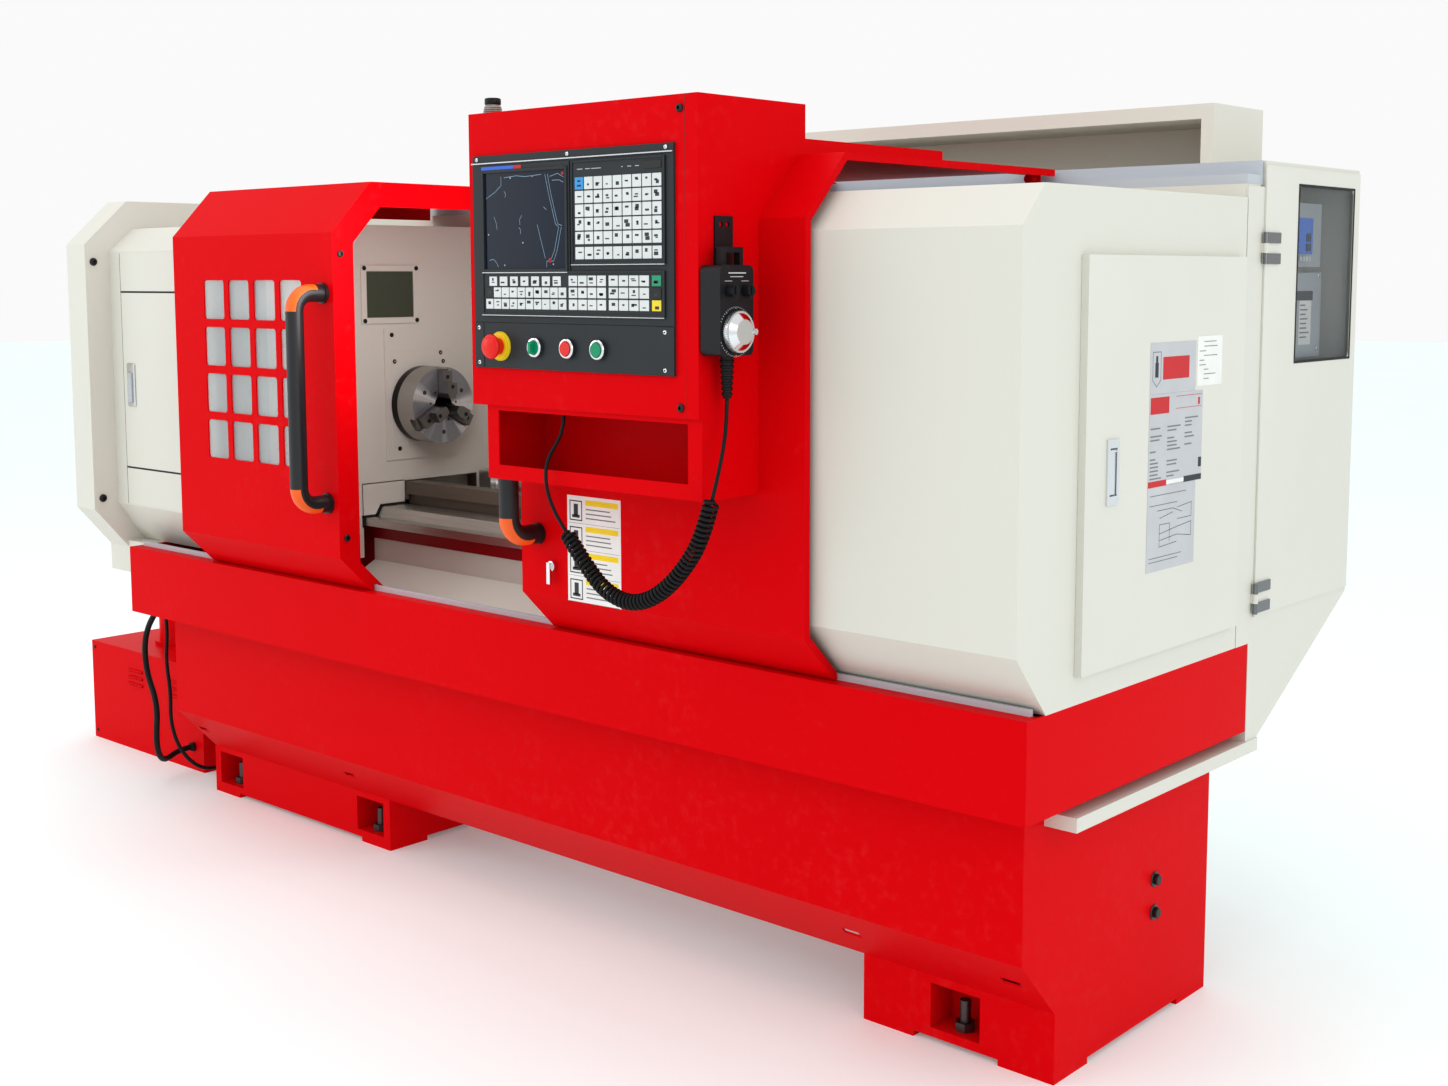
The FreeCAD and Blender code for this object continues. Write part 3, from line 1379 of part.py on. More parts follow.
def green_selector():
    """A turn switch: a disc in its collar with a raised grip across it."""
    disc = rod("selector_disc", "y", ("selector_x", "panel_face - bezel_deep - 2", "button_z"),
               "bezel_deep + 4", "cap_radius")
    grip = block("selector_grip", ("selector_x - 2.5", "panel_face - bezel_deep - 11", "button_z - 9.5"),
                 ("selector_x + 2.5", "panel_face - bezel_deep - 2", "button_z + 9.5"))
    return node("green_selector", join("selector_joined", [disc, grip]))


def emergency_stop():
    """The mushroom head on its stem."""
    stem = rod("stop_stem", "y", ("stop_x", "panel_face - stop_reach + 10", "button_z"),
               "stop_reach - 9", "cap_radius")
    rim = rod("stop_rim", "y", ("stop_x", "panel_face - stop_reach + 6", "button_z"), "9", "stop_head")
    crown = cone("stop_crown", "y", ("stop_x", "panel_face - stop_reach", "button_z"), "6",
                 "stop_head - 6", "stop_head")
    return node("emergency_stop", join("stop_joined", [stem, rim, crown]))


def signal_lamp():
    """The small round lamp on the box's roof."""
    foot = rod("lamp_foot", "z", ("lamp_x", "lamp_y", "console_high"), "8", "lamp_radius")
    lens = rod("lamp_lens", "z", ("lamp_x", "lamp_y", "console_high + 8"), "lamp_high - 12",
               "lamp_radius - 3")
    cap = rod("lamp_cap", "z", ("lamp_x", "lamp_y", "console_high + lamp_high - 4"), "4", "lamp_radius - 1")
    return node("signal_lamp", join("lamp_joined", [foot, lens, cap]))


def mpg_body():
    """The handwheel pendant: hanging plate, case with rounded corners, carrying loop and strain relief."""
    case = rounded("pendant_case", block("pendant_block", ("pendant_left", "pendant_front", "pendant_low"),
                                         ("pendant_right", "pendant_back", "pendant_high")),
                   "pendant_round", FreeCAD.Vector(1, 0, 0))
    plate = block("pendant_plate", ("console_right", "pendant_front + 32", "pendant_low + 12"),
                  ("pendant_left", "pendant_back - 2", "plate_top"))
    slots = [rod(f"plate_hole_{y}", "x", ("console_right - 1", f"pendant_back - {y}",
                                          "plate_top - 12"), "skin + 2", "4")
             for y in (14, 28)]
    middle = "(pendant_left + pendant_right) / 2"
    loop_outer = block("loop_outer", (f"{middle} - 6", "pendant_front + 20", "pendant_high - 4"),
                       (f"{middle} + 6", "pendant_back - 8", "loop_high"))
    loop_inner = block("loop_inner", (f"{middle} - 7", "pendant_front + 28", "pendant_high"),
                       (f"{middle} + 7", "pendant_back - 16", "loop_high - 8"))
    relief = cone("strain_relief", "z", (middle, "relief_y", "relief_low"),
                  "pendant_low + 2 - relief_low", "6", "10")
    loop = cut("loop_cut", loop_outer, [loop_inner])
    whole = join("pendant_joined", [case, cut("plate_cut", plate, slots), loop, relief])
    holes = [rod("wheel_bore", "x", ("pendant_right - 14", "wheel_y", "wheel_z"), "15",
                 "wheel_shaft + run_gap")]
    for y in ("knob_front", "knob_back"):
        holes.append(rod(f"bore_{y}", "x", ("pendant_right - 14", y, "knob_z"), "15",
                         "knob_shaft + run_gap"))
    return node("mpg_body", cut("pendant_bored", whole, holes))


def mpg_wheel():
    """The dished handwheel with its off-centre finger dimple's boss."""
    disc = rod("wheel_disc", "x", ("pendant_right + 1", "wheel_y", "wheel_z"), "9", "wheel_radius")
    dome = cone("wheel_dome", "x", ("pendant_right + 10", "wheel_y", "wheel_z"), "8",
                "wheel_radius - 3", "wheel_radius - 12")
    shaft = rod("wheel_shaft", "x", ("pendant_right - 12", "wheel_y", "wheel_z"), "14", "wheel_shaft")
    spinner = rod("wheel_spinner", "x", ("pendant_right + 9", "wheel_y + wheel_radius - 8", "wheel_z"),
                  "11", "4.5")
    return node("mpg_wheel", join("wheel_joined", [disc, dome, shaft, spinner]))


def mpg_knob(label, y):
    """A small rotary selector with a pointer ridge."""
    cap = rod(label + "_cap", "x", ("pendant_right + 0.6", y, "knob_z"), "12", "knob_radius")
    shaft = rod(label + "_shaft", "x", ("pendant_right - 12", y, "knob_z"), "13", "knob_shaft")
    ridge = block(label + "_ridge", ("pendant_right + 12", f"{y} - 1.5", "knob_z - 6"),
                  ("pendant_right + 15", f"{y} + 1.5", "knob_z + 7"))
    return node(label, join(label + "_joined", [cap, shaft, ridge]))


# ---------------------------------------------------------------------------------------------------
# Carriage, turret and tailstock
# ---------------------------------------------------------------------------------------------------


def z_screw():
    """The long ball screw behind the rear way, with its shoulder collars."""
    screw = rod("screw_rod", "x", ("wall_right + 5", "screw_y", "screw_z"),
                "bed_right - 5 - wall_right - 5", "screw_radius")
    collar = rod("screw_collar", "x", ("wall_right + 50 + fit_gap", "screw_y", "screw_z"), "10",
                 "screw_radius + 6")
    return node("z_screw", join("screw_joined", [screw, collar]))


def carriage():
    """The saddle on both ways: a groove over the central guide and a nut block on the screw."""
    right = "saddle_left + saddle_long"
    top = block("saddle_top", ("saddle_left", "saddle_front", "way_high + fit_gap"),
                (right, "saddle_back", "saddle_high"))
    nut = block("saddle_nut", ("saddle_left + 90", "way_back + 2", "screw_z - 30"),
                ("saddle_left + 210", "saddle_back", "way_high + 4"))
    groove = block("saddle_groove", ("saddle_left - 1", "guide_front - 2", "way_high - 1"),
                   (f"{right} + 1", "guide_front + guide_wide + 2", "guide_high + 2"))
    bore = rod("nut_bore", "x", ("saddle_left - 1", "screw_y", "screw_z"), "saddle_long + 2",
               "screw_radius + run_gap")
    return node("carriage", cut("saddle_cut", join("saddle_joined", [top, nut]), [groove, bore]))


def cross_slide():
    """The cross slide that carries the turret."""
    plate = block("slide_plate", ("slide_left", "slide_front", "saddle_high + fit_gap"),
                  ("slide_left + slide_long", "slide_back", "slide_high"))
    return node("cross_slide", plate)


def tool_turret():
    """Four-way tool post: a square block with a slot all round and a clamped tool bit in each side."""
    base = "slide_high + fit_gap"
    body = block("turret_block", ("turret_x - turret_half", "turret_y - turret_half", base),
                 ("turret_x + turret_half", "turret_y + turret_half", "turret_high"))
    slot_low, slot_high = "axis_z - tool_wide - 4", "axis_z + 4"
    pieces = [body]
    core = "turret_half - 26"
    around = block("turret_around", ("turret_x - turret_half - 1", "turret_y - turret_half - 1", slot_low),
                   ("turret_x + turret_half + 1", "turret_y + turret_half + 1", slot_high))
    kept = block("turret_kept", (f"turret_x - ({core})", f"turret_y - ({core})", slot_low),
                 (f"turret_x + {core}", f"turret_y + {core}", slot_high))
    ring = cut("turret_ring", around, [kept])
    low, high = "axis_z - tool_wide", "axis_z"
    bits = (
        ("turret_x - turret_half - tool_out", "turret_y - turret_half + 4",
         "turret_x - turret_half + 100", "tool_wide"),
        ("turret_x + turret_half + tool_out", "turret_y + turret_half - 4",
         "turret_x + turret_half - 100", "-tool_wide"),
    )
    shaped = [cut("turret_slotted", body, [ring])]
    for number, (start, y, end, wide) in enumerate(bits):
        first, last = (start, end) if number == 0 else (end, start)
        near, far = (y, f"{y} + {wide}") if number == 0 else (f"{y} + {wide}", y)
        shaped.append(block(f"tool_bit_{number}", (first, near, low), (last, far, high)))
    for x in (-48, -16, 16, 48):
        shaped.append(rod(f"clamp_screw_{x}", "z",
                          (f"turret_x + {x}", "turret_y - turret_half + 14", f"{high} - 1"),
                          f"turret_high + 10 - ({high})", "6"))
        shaped.append(rod(f"clamp_screw_back_{x}", "z",
                          (f"turret_x + {x}", "turret_y + turret_half - 14", f"{high} - 1"),
                          f"turret_high + 10 - ({high})", "6"))
    shaped.append(rod("turret_cap", "z", ("turret_x", "turret_y", "turret_high"), "16", "26"))
    return node("tool_turret", join("turret_joined", shaped))


def tailstock():
    """Tailstock casting astride the guide, bored for its quill and its handwheel's shaft."""
    right = "stock_left + stock_long"
    foot = block("stock_foot", ("stock_left", "axis_y - stock_half - 30", "way_high + fit_gap"),
                 (right, "axis_y + stock_half + 50", "way_high + 74"))
    pillar = block("stock_pillar", ("stock_left + 14", "axis_y - barrel_radius", "way_high + 74"),
                   (f"{right} - 14", "axis_y + barrel_radius", "axis_z"))
    barrel = rod("stock_barrel", "x", ("stock_left", "axis_y", "axis_z"), "stock_long", "barrel_radius")
    groove = block("stock_groove", ("stock_left - 1", "guide_front - 2", "way_high - 1"),
                   (f"{right} + 1", "guide_front + guide_wide + 2", "guide_high + 2"))
    bore = rod("stock_bore", "x", ("stock_left - 1", "axis_y", "axis_z"), "stock_long - 24",
               "quill_radius + run_gap")
    shaft = rod("stock_shaft_bore", "x", (f"{right} - 30", "axis_y", "axis_z"), "31",
                "crank_shaft + run_gap")
    return node("tailstock", cut("stock_bored", join("stock_joined", [foot, pillar, barrel]),
                                 [groove, bore, shaft]))


def quill():
    """The sliding quill with its pointed centre."""
    tube = rod("quill_tube", "x", ("stock_left - quill_out", "axis_y", "axis_z"),
               "stock_long + quill_out - 34", "quill_radius")
    point = cone("quill_point", "x", ("stock_left - quill_out - 40", "axis_y", "axis_z"), "40", "0.5", "20")
    return node("quill", join("quill_joined", [tube, point]))


def tailstock_wheel():
    """The tailstock's handwheel: rim, web, hub, and a crank knob near its rim."""
    right = "stock_left + stock_long"
    shaft = rod("crank_shaft", "x", (f"{right} - 22", "axis_y", "axis_z"), "34", "crank_shaft")
    web = rod("crank_web", "x", (f"{right} + 6", "axis_y", "axis_z"), "6", "handwheel_radius - 8")
    rim = doc.addObject("Part::Torus", "crank_rim")
    bind(rim, "Radius1", "handwheel_radius - 9")
    bind(rim, "Radius2", "9")
    rim.Placement.Rotation = UPRIGHT["x"]
    place(rim, (f"{right} + 12", "axis_y", "axis_z"))
    knob = rod("crank_knob", "x", (f"{right} + 16", "axis_y", "axis_z + handwheel_radius - 10"), "50", "8")
    return node("tailstock_wheel", join("crank_joined", [shaft, web, rim, knob]))


# ---------------------------------------------------------------------------------------------------
# Coolant tank and pump, standing beside the lathe
# ---------------------------------------------------------------------------------------------------


def coolant_tank():
    """A folded tank with a lid, two groups of louvre slots in its front and a hole for the pump."""
    outer = block("tank_outer", ("tank_left", "tank_front", "0"), ("tank_right", "tank_back", "tank_high"))
    inner = block("tank_inner", ("tank_left + skin", "tank_front + skin", "skin"),
                  ("tank_right - skin", "tank_back - skin", "tank_high - skin"))
    tools = [inner, rod("tank_pump_hole", "z", ("pump_x", "pump_y", "tank_high - skin - 1"),
                        "skin + 2", "pump_radius - 20")]
    for group_number, x in enumerate(("tank_left + 220", "tank_left + 410")):
        for row in range(3):
            low = f"tank_high - 92 + {row} * 18"
            tools.append(block(f"louvre_{group_number}_{row}", (f"{x} - 34", "tank_front - 1", low),
                               (f"{x} + 34", "tank_front + skin + 1", f"{low} + 5")))
    return node("coolant_tank", cut("tank_folded", outer, tools))


def coolant_pump():
    """The immersion pump: flange on the lid, motor with a domed fan cowl, terminal box, dip tube."""
    flange = rod("pump_flange", "z", ("pump_x", "pump_y", "tank_high"), "10", "pump_radius + 8")
    motor = rod("pump_motor", "z", ("pump_x", "pump_y", "tank_high + 10"),
                "pump_high - tank_high - 22", "pump_radius - 4")
    cowl = cone("pump_cowl", "z", ("pump_x", "pump_y", "pump_high - 40"), "40", "pump_radius",
                "pump_radius - 8")
    terminal = block("pump_terminal", ("pump_x + 40", "pump_y - 26", "tank_high + 60"),
                     ("pump_x + 84", "pump_y + 26", "tank_high + 112"))
    tube = rod("pump_dip_tube", "z", ("pump_x", "pump_y", "20"), "tank_high - 18", "22")
    return node("coolant_pump", join("pump_joined", [flange, motor, cowl, terminal, tube]))


# ---------------------------------------------------------------------------------------------------
# Cords
# ---------------------------------------------------------------------------------------------------


def cord(label, radius_name, points):
    """A round cord: straight runs joined by arcs tangent to both runs."""
    radius = value(radius_name)
    spots = [FreeCAD.Vector(value(x), value(y), value(z)) for x, y, z in points]
    edges, radii = [], []
    start = spots[0]
    for i in range(1, len(spots) - 1):
        before, after = spots[i] - spots[i - 1], spots[i + 1] - spots[i]
        turn = before.getAngle(after)
        trim = 0.45 * min(before.Length, after.Length)
        bend = trim / math.tan(turn / 2)
        enter = spots[i] - before.normalize() * trim
        leave = spots[i] + after.normalize() * trim
        inward = (after - before).normalize()
        middle = spots[i] + inward * (bend / math.cos(turn / 2) - bend)
        edges.append(Part.LineSegment(start, enter).toShape())
        edges.append(Part.Arc(enter, middle, leave).toShape())
        radii.append(round(bend))
        start = leave
    edges.append(Part.LineSegment(start, spots[-1]).toShape())
    path = Part.Wire(edges)
    section = Part.Wire(Part.Circle(spots[0], spots[1] - spots[0], radius).toShape())
    tube = path.makePipeShell([section], True, False)
    expected = math.pi * radius**2 * path.Length
    share = tube.Volume / expected
    print(f"{label}: {path.Length:.0f} mm long, bends {radii}, volume {share:.3f} of section x length")
    thing = doc.addObject("Part::Feature", label + "_tube")
    thing.Shape = tube
    return node(label, thing)


def cords():
    """The pendant's lead, its coil, the lead up to the box, and the two lines down to the tank."""
    pendant_middle = "(pendant_left + pendant_right) / 2"
    cord("mpg_lead", "lead_radius", [
        (pendant_middle, "relief_y", "relief_low"),
        (f"{pendant_middle} + 1", "relief_y - 2", "relief_low - 45"),
        ("1113.4", "-634", "944"),
        ("1099.5", "-634", "901.2"),
    ])
    cord("curly_cord", "coil_radius", [
        ("1099.5", "-634", "901.2"),
        ("1083", "-634", "850.3"),
        ("1050", "-634", "800"),
        ("998.6", "-634", "752"),
        ("942.1", "-634", "728.5"),
        ("888.7", "-634", "736.8"),
        ("845.3", "-634", "766"),
        ("791.5", "-634", "825.3"),
    ])
    cord("box_lead", "lead_radius", [
        ("791.5", "-634", "825.3"),
        ("761", "-634", "858.9"),
        ("747", "-636", "897"),
        ("744", "-630", "938"),
        ("752", "-598", "976"),
        ("752", "-598", "console_low"),
    ])
    cord("coolant_hose", "hose_radius", [
        ("-955", "-330", "gear_foot_low"),
        ("-955", "-330", "445"),
        ("-1029", "-330", "371"),
        ("-1033", "-330", "280"),
        ("-962", "-341", "204"),
        ("-955", "-353", "121"),
        ("-975", "-335", "72"),
        ("-1010", "-297", "49"),
        ("-1035", "tank_front - 43", "60"),
        ("-1035", "tank_front", "60"),
    ])
    cord("pump_cable", "cable_radius", [
        ("-935", "-330", "gear_foot_low"),
        ("-935", "-330", "460"),
        ("-928", "-328", "385"),
        ("-942", "-327", "312"),
        ("-927", "-326", "238"),
        ("-935", "-325", "163"),
        ("-908", "-320", "100"),
        ("-892", "-285", "52"),
        ("-895", "-232", "35"),
        ("-912", "-180", "45"),
        ("tank_right + 43", "-160", "62"),
        ("tank_right", "-160", "62"),
    ])


# ---------------------------------------------------------------------------------------------------
# Checks and files
# ---------------------------------------------------------------------------------------------------


def check_and_write():
    """Stop on a failed feature, an idle cut or a broken solid; then write one file a sub-part."""
    doc.recompute()
    for thing in doc.Objects:
        if "Invalid" in thing.State or "Error" in thing.State:
            raise RuntimeError(f"{thing.Label} failed: {thing.State}")
    for result in cuts:
        if result.Shape.Volume > result.Base.Shape.Volume - 1:
            raise RuntimeError(f"{result.Label} cuts nothing")
    os.makedirs("parts", exist_ok=True)
    for label, thing in nodes:
        shape = thing.Shape
        if shape.isNull() or not shape.isValid() or not shape.Solids:
            raise RuntimeError(f"{label} is not a valid solid")
        shape.exportStep(f"parts/{label}.step")
        print(f"{label}: {len(shape.Solids)} solid(s), {shape.Volume / 1e6:.3f} litres")
    print(f"{len(nodes)} sub-parts")


def build_everything():
    """Every sub-part, from the floor up."""
    pedestal("left_pedestal", "base_left", "left_foot_long",
             ("base_left + pocket_inset", "base_left + left_foot_long - pocket_inset - pocket_wide"))
    pedestal("right_pedestal", "(base_right - right_foot_long)", "right_foot_long",
             ("base_right - right_foot_long / 2 - pocket_wide / 2",))
    levelling_bolts()
    front_skirt()
    chip_tray()
    chip_chute()
    bed_casting()
    headstock_casting()
    spindle()
    chuck()
    for jaw_number, jaw_degrees in enumerate(JAW_TURNS, start=1):
        chuck_jaw(jaw_number, jaw_degrees)
    headstock_cover()
    gear_end_cover()
    spindle_motor()
    motor_pulley()
    drive_belt()
    rear_splash_guard()
    door_rails()
    rear_cabinet()
    cabinet_door()
    cabinet_window()
    drive_units()
    top_box()
    tail_guard()
    tail_door()
    tail_latch()
    left_door()
    left_glazing()
    handle("left_handle", "left_grip_x", "grip_low", "grip_high", "grip_radius + 3")
    right_door()
    handle("right_handle", "right_grip_x", "grip_low", "short_grip_high", "grip_radius + 1.5")
    door_lock()
    control_box()
    control_panel()
    screen()
    emergency_stop()
    push_button("red_button", "red_x")
    push_button("green_button", "green_x")
    green_selector()
    signal_lamp()
    mpg_body()
    mpg_wheel()
    mpg_knob("mpg_knob_1", "knob_front")
    mpg_knob("mpg_knob_2", "knob_back")
    z_screw()
    carriage()
    cross_slide()
    tool_turret()
    tailstock()
    quill()
    tailstock_wheel()
    coolant_tank()
    coolant_pump()
    cords()


build_everything()
check_and_write()
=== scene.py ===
import math
import random

import bmesh
import bpy
from mathutils import Matrix, Vector


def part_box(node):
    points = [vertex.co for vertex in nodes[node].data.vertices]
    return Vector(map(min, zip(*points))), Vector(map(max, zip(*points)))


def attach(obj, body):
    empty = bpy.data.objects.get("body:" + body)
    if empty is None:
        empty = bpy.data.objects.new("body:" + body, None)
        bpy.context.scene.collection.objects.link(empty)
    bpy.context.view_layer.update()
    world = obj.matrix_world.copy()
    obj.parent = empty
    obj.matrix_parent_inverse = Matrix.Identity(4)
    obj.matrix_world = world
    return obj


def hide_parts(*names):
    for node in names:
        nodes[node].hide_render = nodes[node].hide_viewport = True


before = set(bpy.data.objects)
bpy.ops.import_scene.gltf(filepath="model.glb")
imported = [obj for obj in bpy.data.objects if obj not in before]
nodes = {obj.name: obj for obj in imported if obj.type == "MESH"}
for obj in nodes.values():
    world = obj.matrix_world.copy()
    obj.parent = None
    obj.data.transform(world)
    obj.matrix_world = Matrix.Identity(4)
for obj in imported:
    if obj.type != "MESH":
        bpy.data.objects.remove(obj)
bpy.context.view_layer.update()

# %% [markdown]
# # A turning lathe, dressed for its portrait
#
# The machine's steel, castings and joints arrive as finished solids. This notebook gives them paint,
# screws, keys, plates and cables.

MM = 0.001

# %% [markdown]
# ## The camera
#
# The visitor stands at the machine's right front corner, a little below the height of the door roofs. A
# camera is a position, a direction and a lens. We turn it with a matrix made of its own right, up and
# back directions, which is exact and never flips the way a chain of angles can.

# %% Stand the camera
EYE = Vector((2.7576, -2.4641, 1.2201))
LOOK = Vector((-0.6640, 0.74037, -0.10463)).normalized()
LENS_MM = 42.98
ROLL = math.radians(-0.13)
LENS_SHIFT = (0.0024, -0.0578)


def stand_camera():
    side = LOOK.cross(Vector((0, 0, 1))).normalized()
    over = side.cross(LOOK)
    right = side * math.cos(ROLL) + over * math.sin(ROLL)
    up = over * math.cos(ROLL) - side * math.sin(ROLL)
    lens = bpy.data.cameras.new("visitor")
    lens.lens = LENS_MM
    lens.sensor_width = 36
    lens.shift_x, lens.shift_y = LENS_SHIFT
    lens.clip_start, lens.clip_end = 0.05, 60
    camera = bpy.data.objects.new("visitor", lens)
    bpy.context.scene.collection.objects.link(camera)
    turn = Matrix((right, up, -LOOK)).transposed().to_4x4()
    camera.matrix_world = Matrix.Translation(EYE) @ turn
    bpy.context.scene.camera = camera


stand_camera()
print("lens", LENS_MM, "mm, eye height", round(EYE.z, 3))

# %% [markdown]
# ## Cords
#
# A cord is a fixed length of something bendy. In Blender it is a curve with a round bevel. A NURBS spline
# is kind to cables: it never kinks, it starts and ends on its first and last points, and the points
# between pull it gently. Its order is set after the points are added, or it silently stays at straight
# runs. The thickness sits in each point's own radius under a bevel of one metre, because Blender grows a
# curve's box by that radius.


# %% A smooth round line
def smooth_line(name, points, radius, steps=8):
    curve = bpy.data.curves.new(name, "CURVE")
    curve.dimensions = "3D"
    curve.bevel_depth = 1.0 if radius else 0.0
    curve.bevel_resolution = 3
    curve.resolution_u = steps
    curve.use_fill_caps = True
    spline = curve.splines.new("NURBS")
    spline.points.add(len(points) - 1)
    for spot, point in zip(spline.points, points):
        spot.co = (*point, 1)
        spot.radius = radius
    spline.order_u = 3
    spline.use_endpoint_u = True
    line = bpy.data.objects.new(name, curve)
    bpy.context.scene.collection.objects.link(line)
    return line


def along(points, steps=24):
    """The places that a smooth line runs through, read back from the spline itself."""
    guide = smooth_line("guide", points, 0.0, steps)
    bpy.context.view_layer.update()
    mesh = bpy.data.meshes.new_from_object(guide.evaluated_get(bpy.context.evaluated_depsgraph_get()))
    places = [vertex.co.copy() for vertex in mesh.vertices]
    bpy.data.objects.remove(guide)
    bpy.data.meshes.remove(mesh)
    return places


def run_length(places):
    return sum((b - a).length for a, b in zip(places, places[1:]))


# %% [markdown]
# The handwheel pendant hangs on a curly lead. The lead leaves the pendant's strain relief, becomes a
# helix, and leaves the helix again to climb into the box through the storage tray. All three stretches
# are one wire, so they are one curve. The helix is not modelled by hand: a loop walks along the sagging
# middle line of the coil and swings a point round it. The swing direction is carried along the line from
# step to step, which keeps the turns from twisting where the line bends.

# %% The pendant's curly lead
WIRE = 0.0030
COIL_RADIUS = 0.0102
COIL_PITCH = 0.0082
TURN_STEPS = 14
EASE_STEPS = 10
LEAD_DOWN = [(1.0863, -0.586, 1.045), (1.0873, -0.588, 1.000), (1.1134, -0.634, 0.944),
             (1.0995, -0.634, 0.9012)]
COIL_LINE = [(1.0995, -0.634, 0.9012), (1.083, -0.634, 0.8503), (1.050, -0.634, 0.800),
             (0.9986, -0.634, 0.752), (0.9421, -0.634, 0.7285), (0.8887, -0.634, 0.7368),
             (0.8453, -0.634, 0.766), (0.7915, -0.634, 0.8253)]
LEAD_UP = [(0.7915, -0.634, 0.8253), (0.761, -0.634, 0.8589), (0.747, -0.636, 0.897), (0.744, -0.630, 0.938),
           (0.752, -0.598, 0.976), (0.752, -0.598, 1.0145)]


def evenly(places, gap):
    """Places a fixed distance apart along a line, each with the line's direction there."""
    found, left = [], 0.0
    for a, b in zip(places, places[1:]):
        step = (b - a).length
        while left <= step:
            found.append((a.lerp(b, left / step), (b - a).normalized()))
            left += gap
        left -= step
    return found


def helix(places):
    """The coil's turns round a line: their radius grows from nothing and dies away at the ends."""
    stations = evenly(places, COIL_PITCH / TURN_STEPS)
    swing = Vector((0, 1, 0))
    turns = []
    for number, (centre, ahead) in enumerate(stations):
        swing = (swing - ahead * swing.dot(ahead)).normalized()
        other = ahead.cross(swing)
        angle = math.tau * number / TURN_STEPS
        grow = min(1, number / EASE_STEPS, (len(stations) - 1 - number) / EASE_STEPS)
        turns.append(centre + (swing * math.cos(angle) + other * math.sin(angle)) * COIL_RADIUS * grow)
    return turns


coil_turns = helix(along(COIL_LINE))
wire_points = LEAD_DOWN[:-1] + coil_turns + LEAD_UP[1:]
curly_lead = smooth_line("curly_lead", wire_points, WIRE, 3)
curly_lead.data.bevel_resolution = 2
wire_length = run_length(along(wire_points, 3))
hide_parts("mpg_lead", "curly_cord", "box_lead")
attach(curly_lead, "right_door")
print("curly lead:", round(wire_length, 2), "m of wire in", len(coil_turns) // TURN_STEPS, "turns")

# %% [markdown]
# Two lines drop from the belt cover's foot to the coolant tank: the thick one is the hose, the thin one the
# pump's cable. They hang in uneven bends, as lines that were pushed aside to sweep the floor do.

# %% Hose and pump cable
HOSE_RADIUS, CABLE_RADIUS = 0.007, 0.0045
HOSE = [(-0.955, -0.330, 0.530), (-0.955, -0.330, 0.445), (-1.029, -0.330, 0.371), (-1.033, -0.330, 0.280),
        (-0.962, -0.341, 0.204), (-0.955, -0.353, 0.121), (-0.975, -0.335, 0.072), (-1.010, -0.297, 0.049),
        (-1.035, -0.248, 0.060), (-1.035, -0.205, 0.060)]
CABLE = [(-0.935, -0.330, 0.530), (-0.935, -0.330, 0.460), (-0.928, -0.328, 0.385), (-0.942, -0.327, 0.312),
         (-0.927, -0.326, 0.238), (-0.935, -0.325, 0.163), (-0.908, -0.320, 0.100), (-0.892, -0.285, 0.052),
         (-0.895, -0.232, 0.035), (-0.912, -0.180, 0.045), (-0.947, -0.160, 0.062), (-0.990, -0.160, 0.062)]


def hang_line(name, node, points, radius):
    line = smooth_line(name, points, radius, 10)
    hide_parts(node)
    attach(line, "frame")
    length = run_length(along(points))
    print(name, round(length, 3), "m")
    return line


hose = hang_line("coolant_line", "coolant_hose", HOSE, HOSE_RADIUS)
pump_lead = hang_line("pump_line", "pump_cable", CABLE, CABLE_RADIUS)

# %% [markdown]
# ## Shader maths that reads like maths
#
# A material is a graph of nodes. Building it by naming sockets is slow to read, so one small class wraps
# a socket and lets us write `1 - mask` or `grain * 0.3`. Each operator adds a Math node. A second class
# starts a material and adds any other node by its type, its settings and what goes into its sockets.


# %% Wrap a socket
class Signal:
    """One output socket, with arithmetic."""

    def __init__(self, paint, socket):
        self.paint = paint
        self.socket = socket

    def maths(self, operation, *values):
        return self.paint.node("ShaderNodeMath", {"operation": operation}, dict(enumerate(values)))

    def __add__(self, other):
        return self.maths("ADD", self, other)

    def __sub__(self, other):
        return self.maths("SUBTRACT", self, other)

    def __rsub__(self, other):
        return self.maths("SUBTRACT", other, self)

    def __mul__(self, other):
        return self.maths("MULTIPLY", self, other)

    def __truediv__(self, other):
        return self.maths("DIVIDE", self, other)

    def __gt__(self, other):
        return self.maths("GREATER_THAN", self, other)

    def __lt__(self, other):
        return self.maths("LESS_THAN", self, other)

    def root(self):
        return self.maths("SQRT", self)

    __radd__ = __add__
    __rmul__ = __mul__


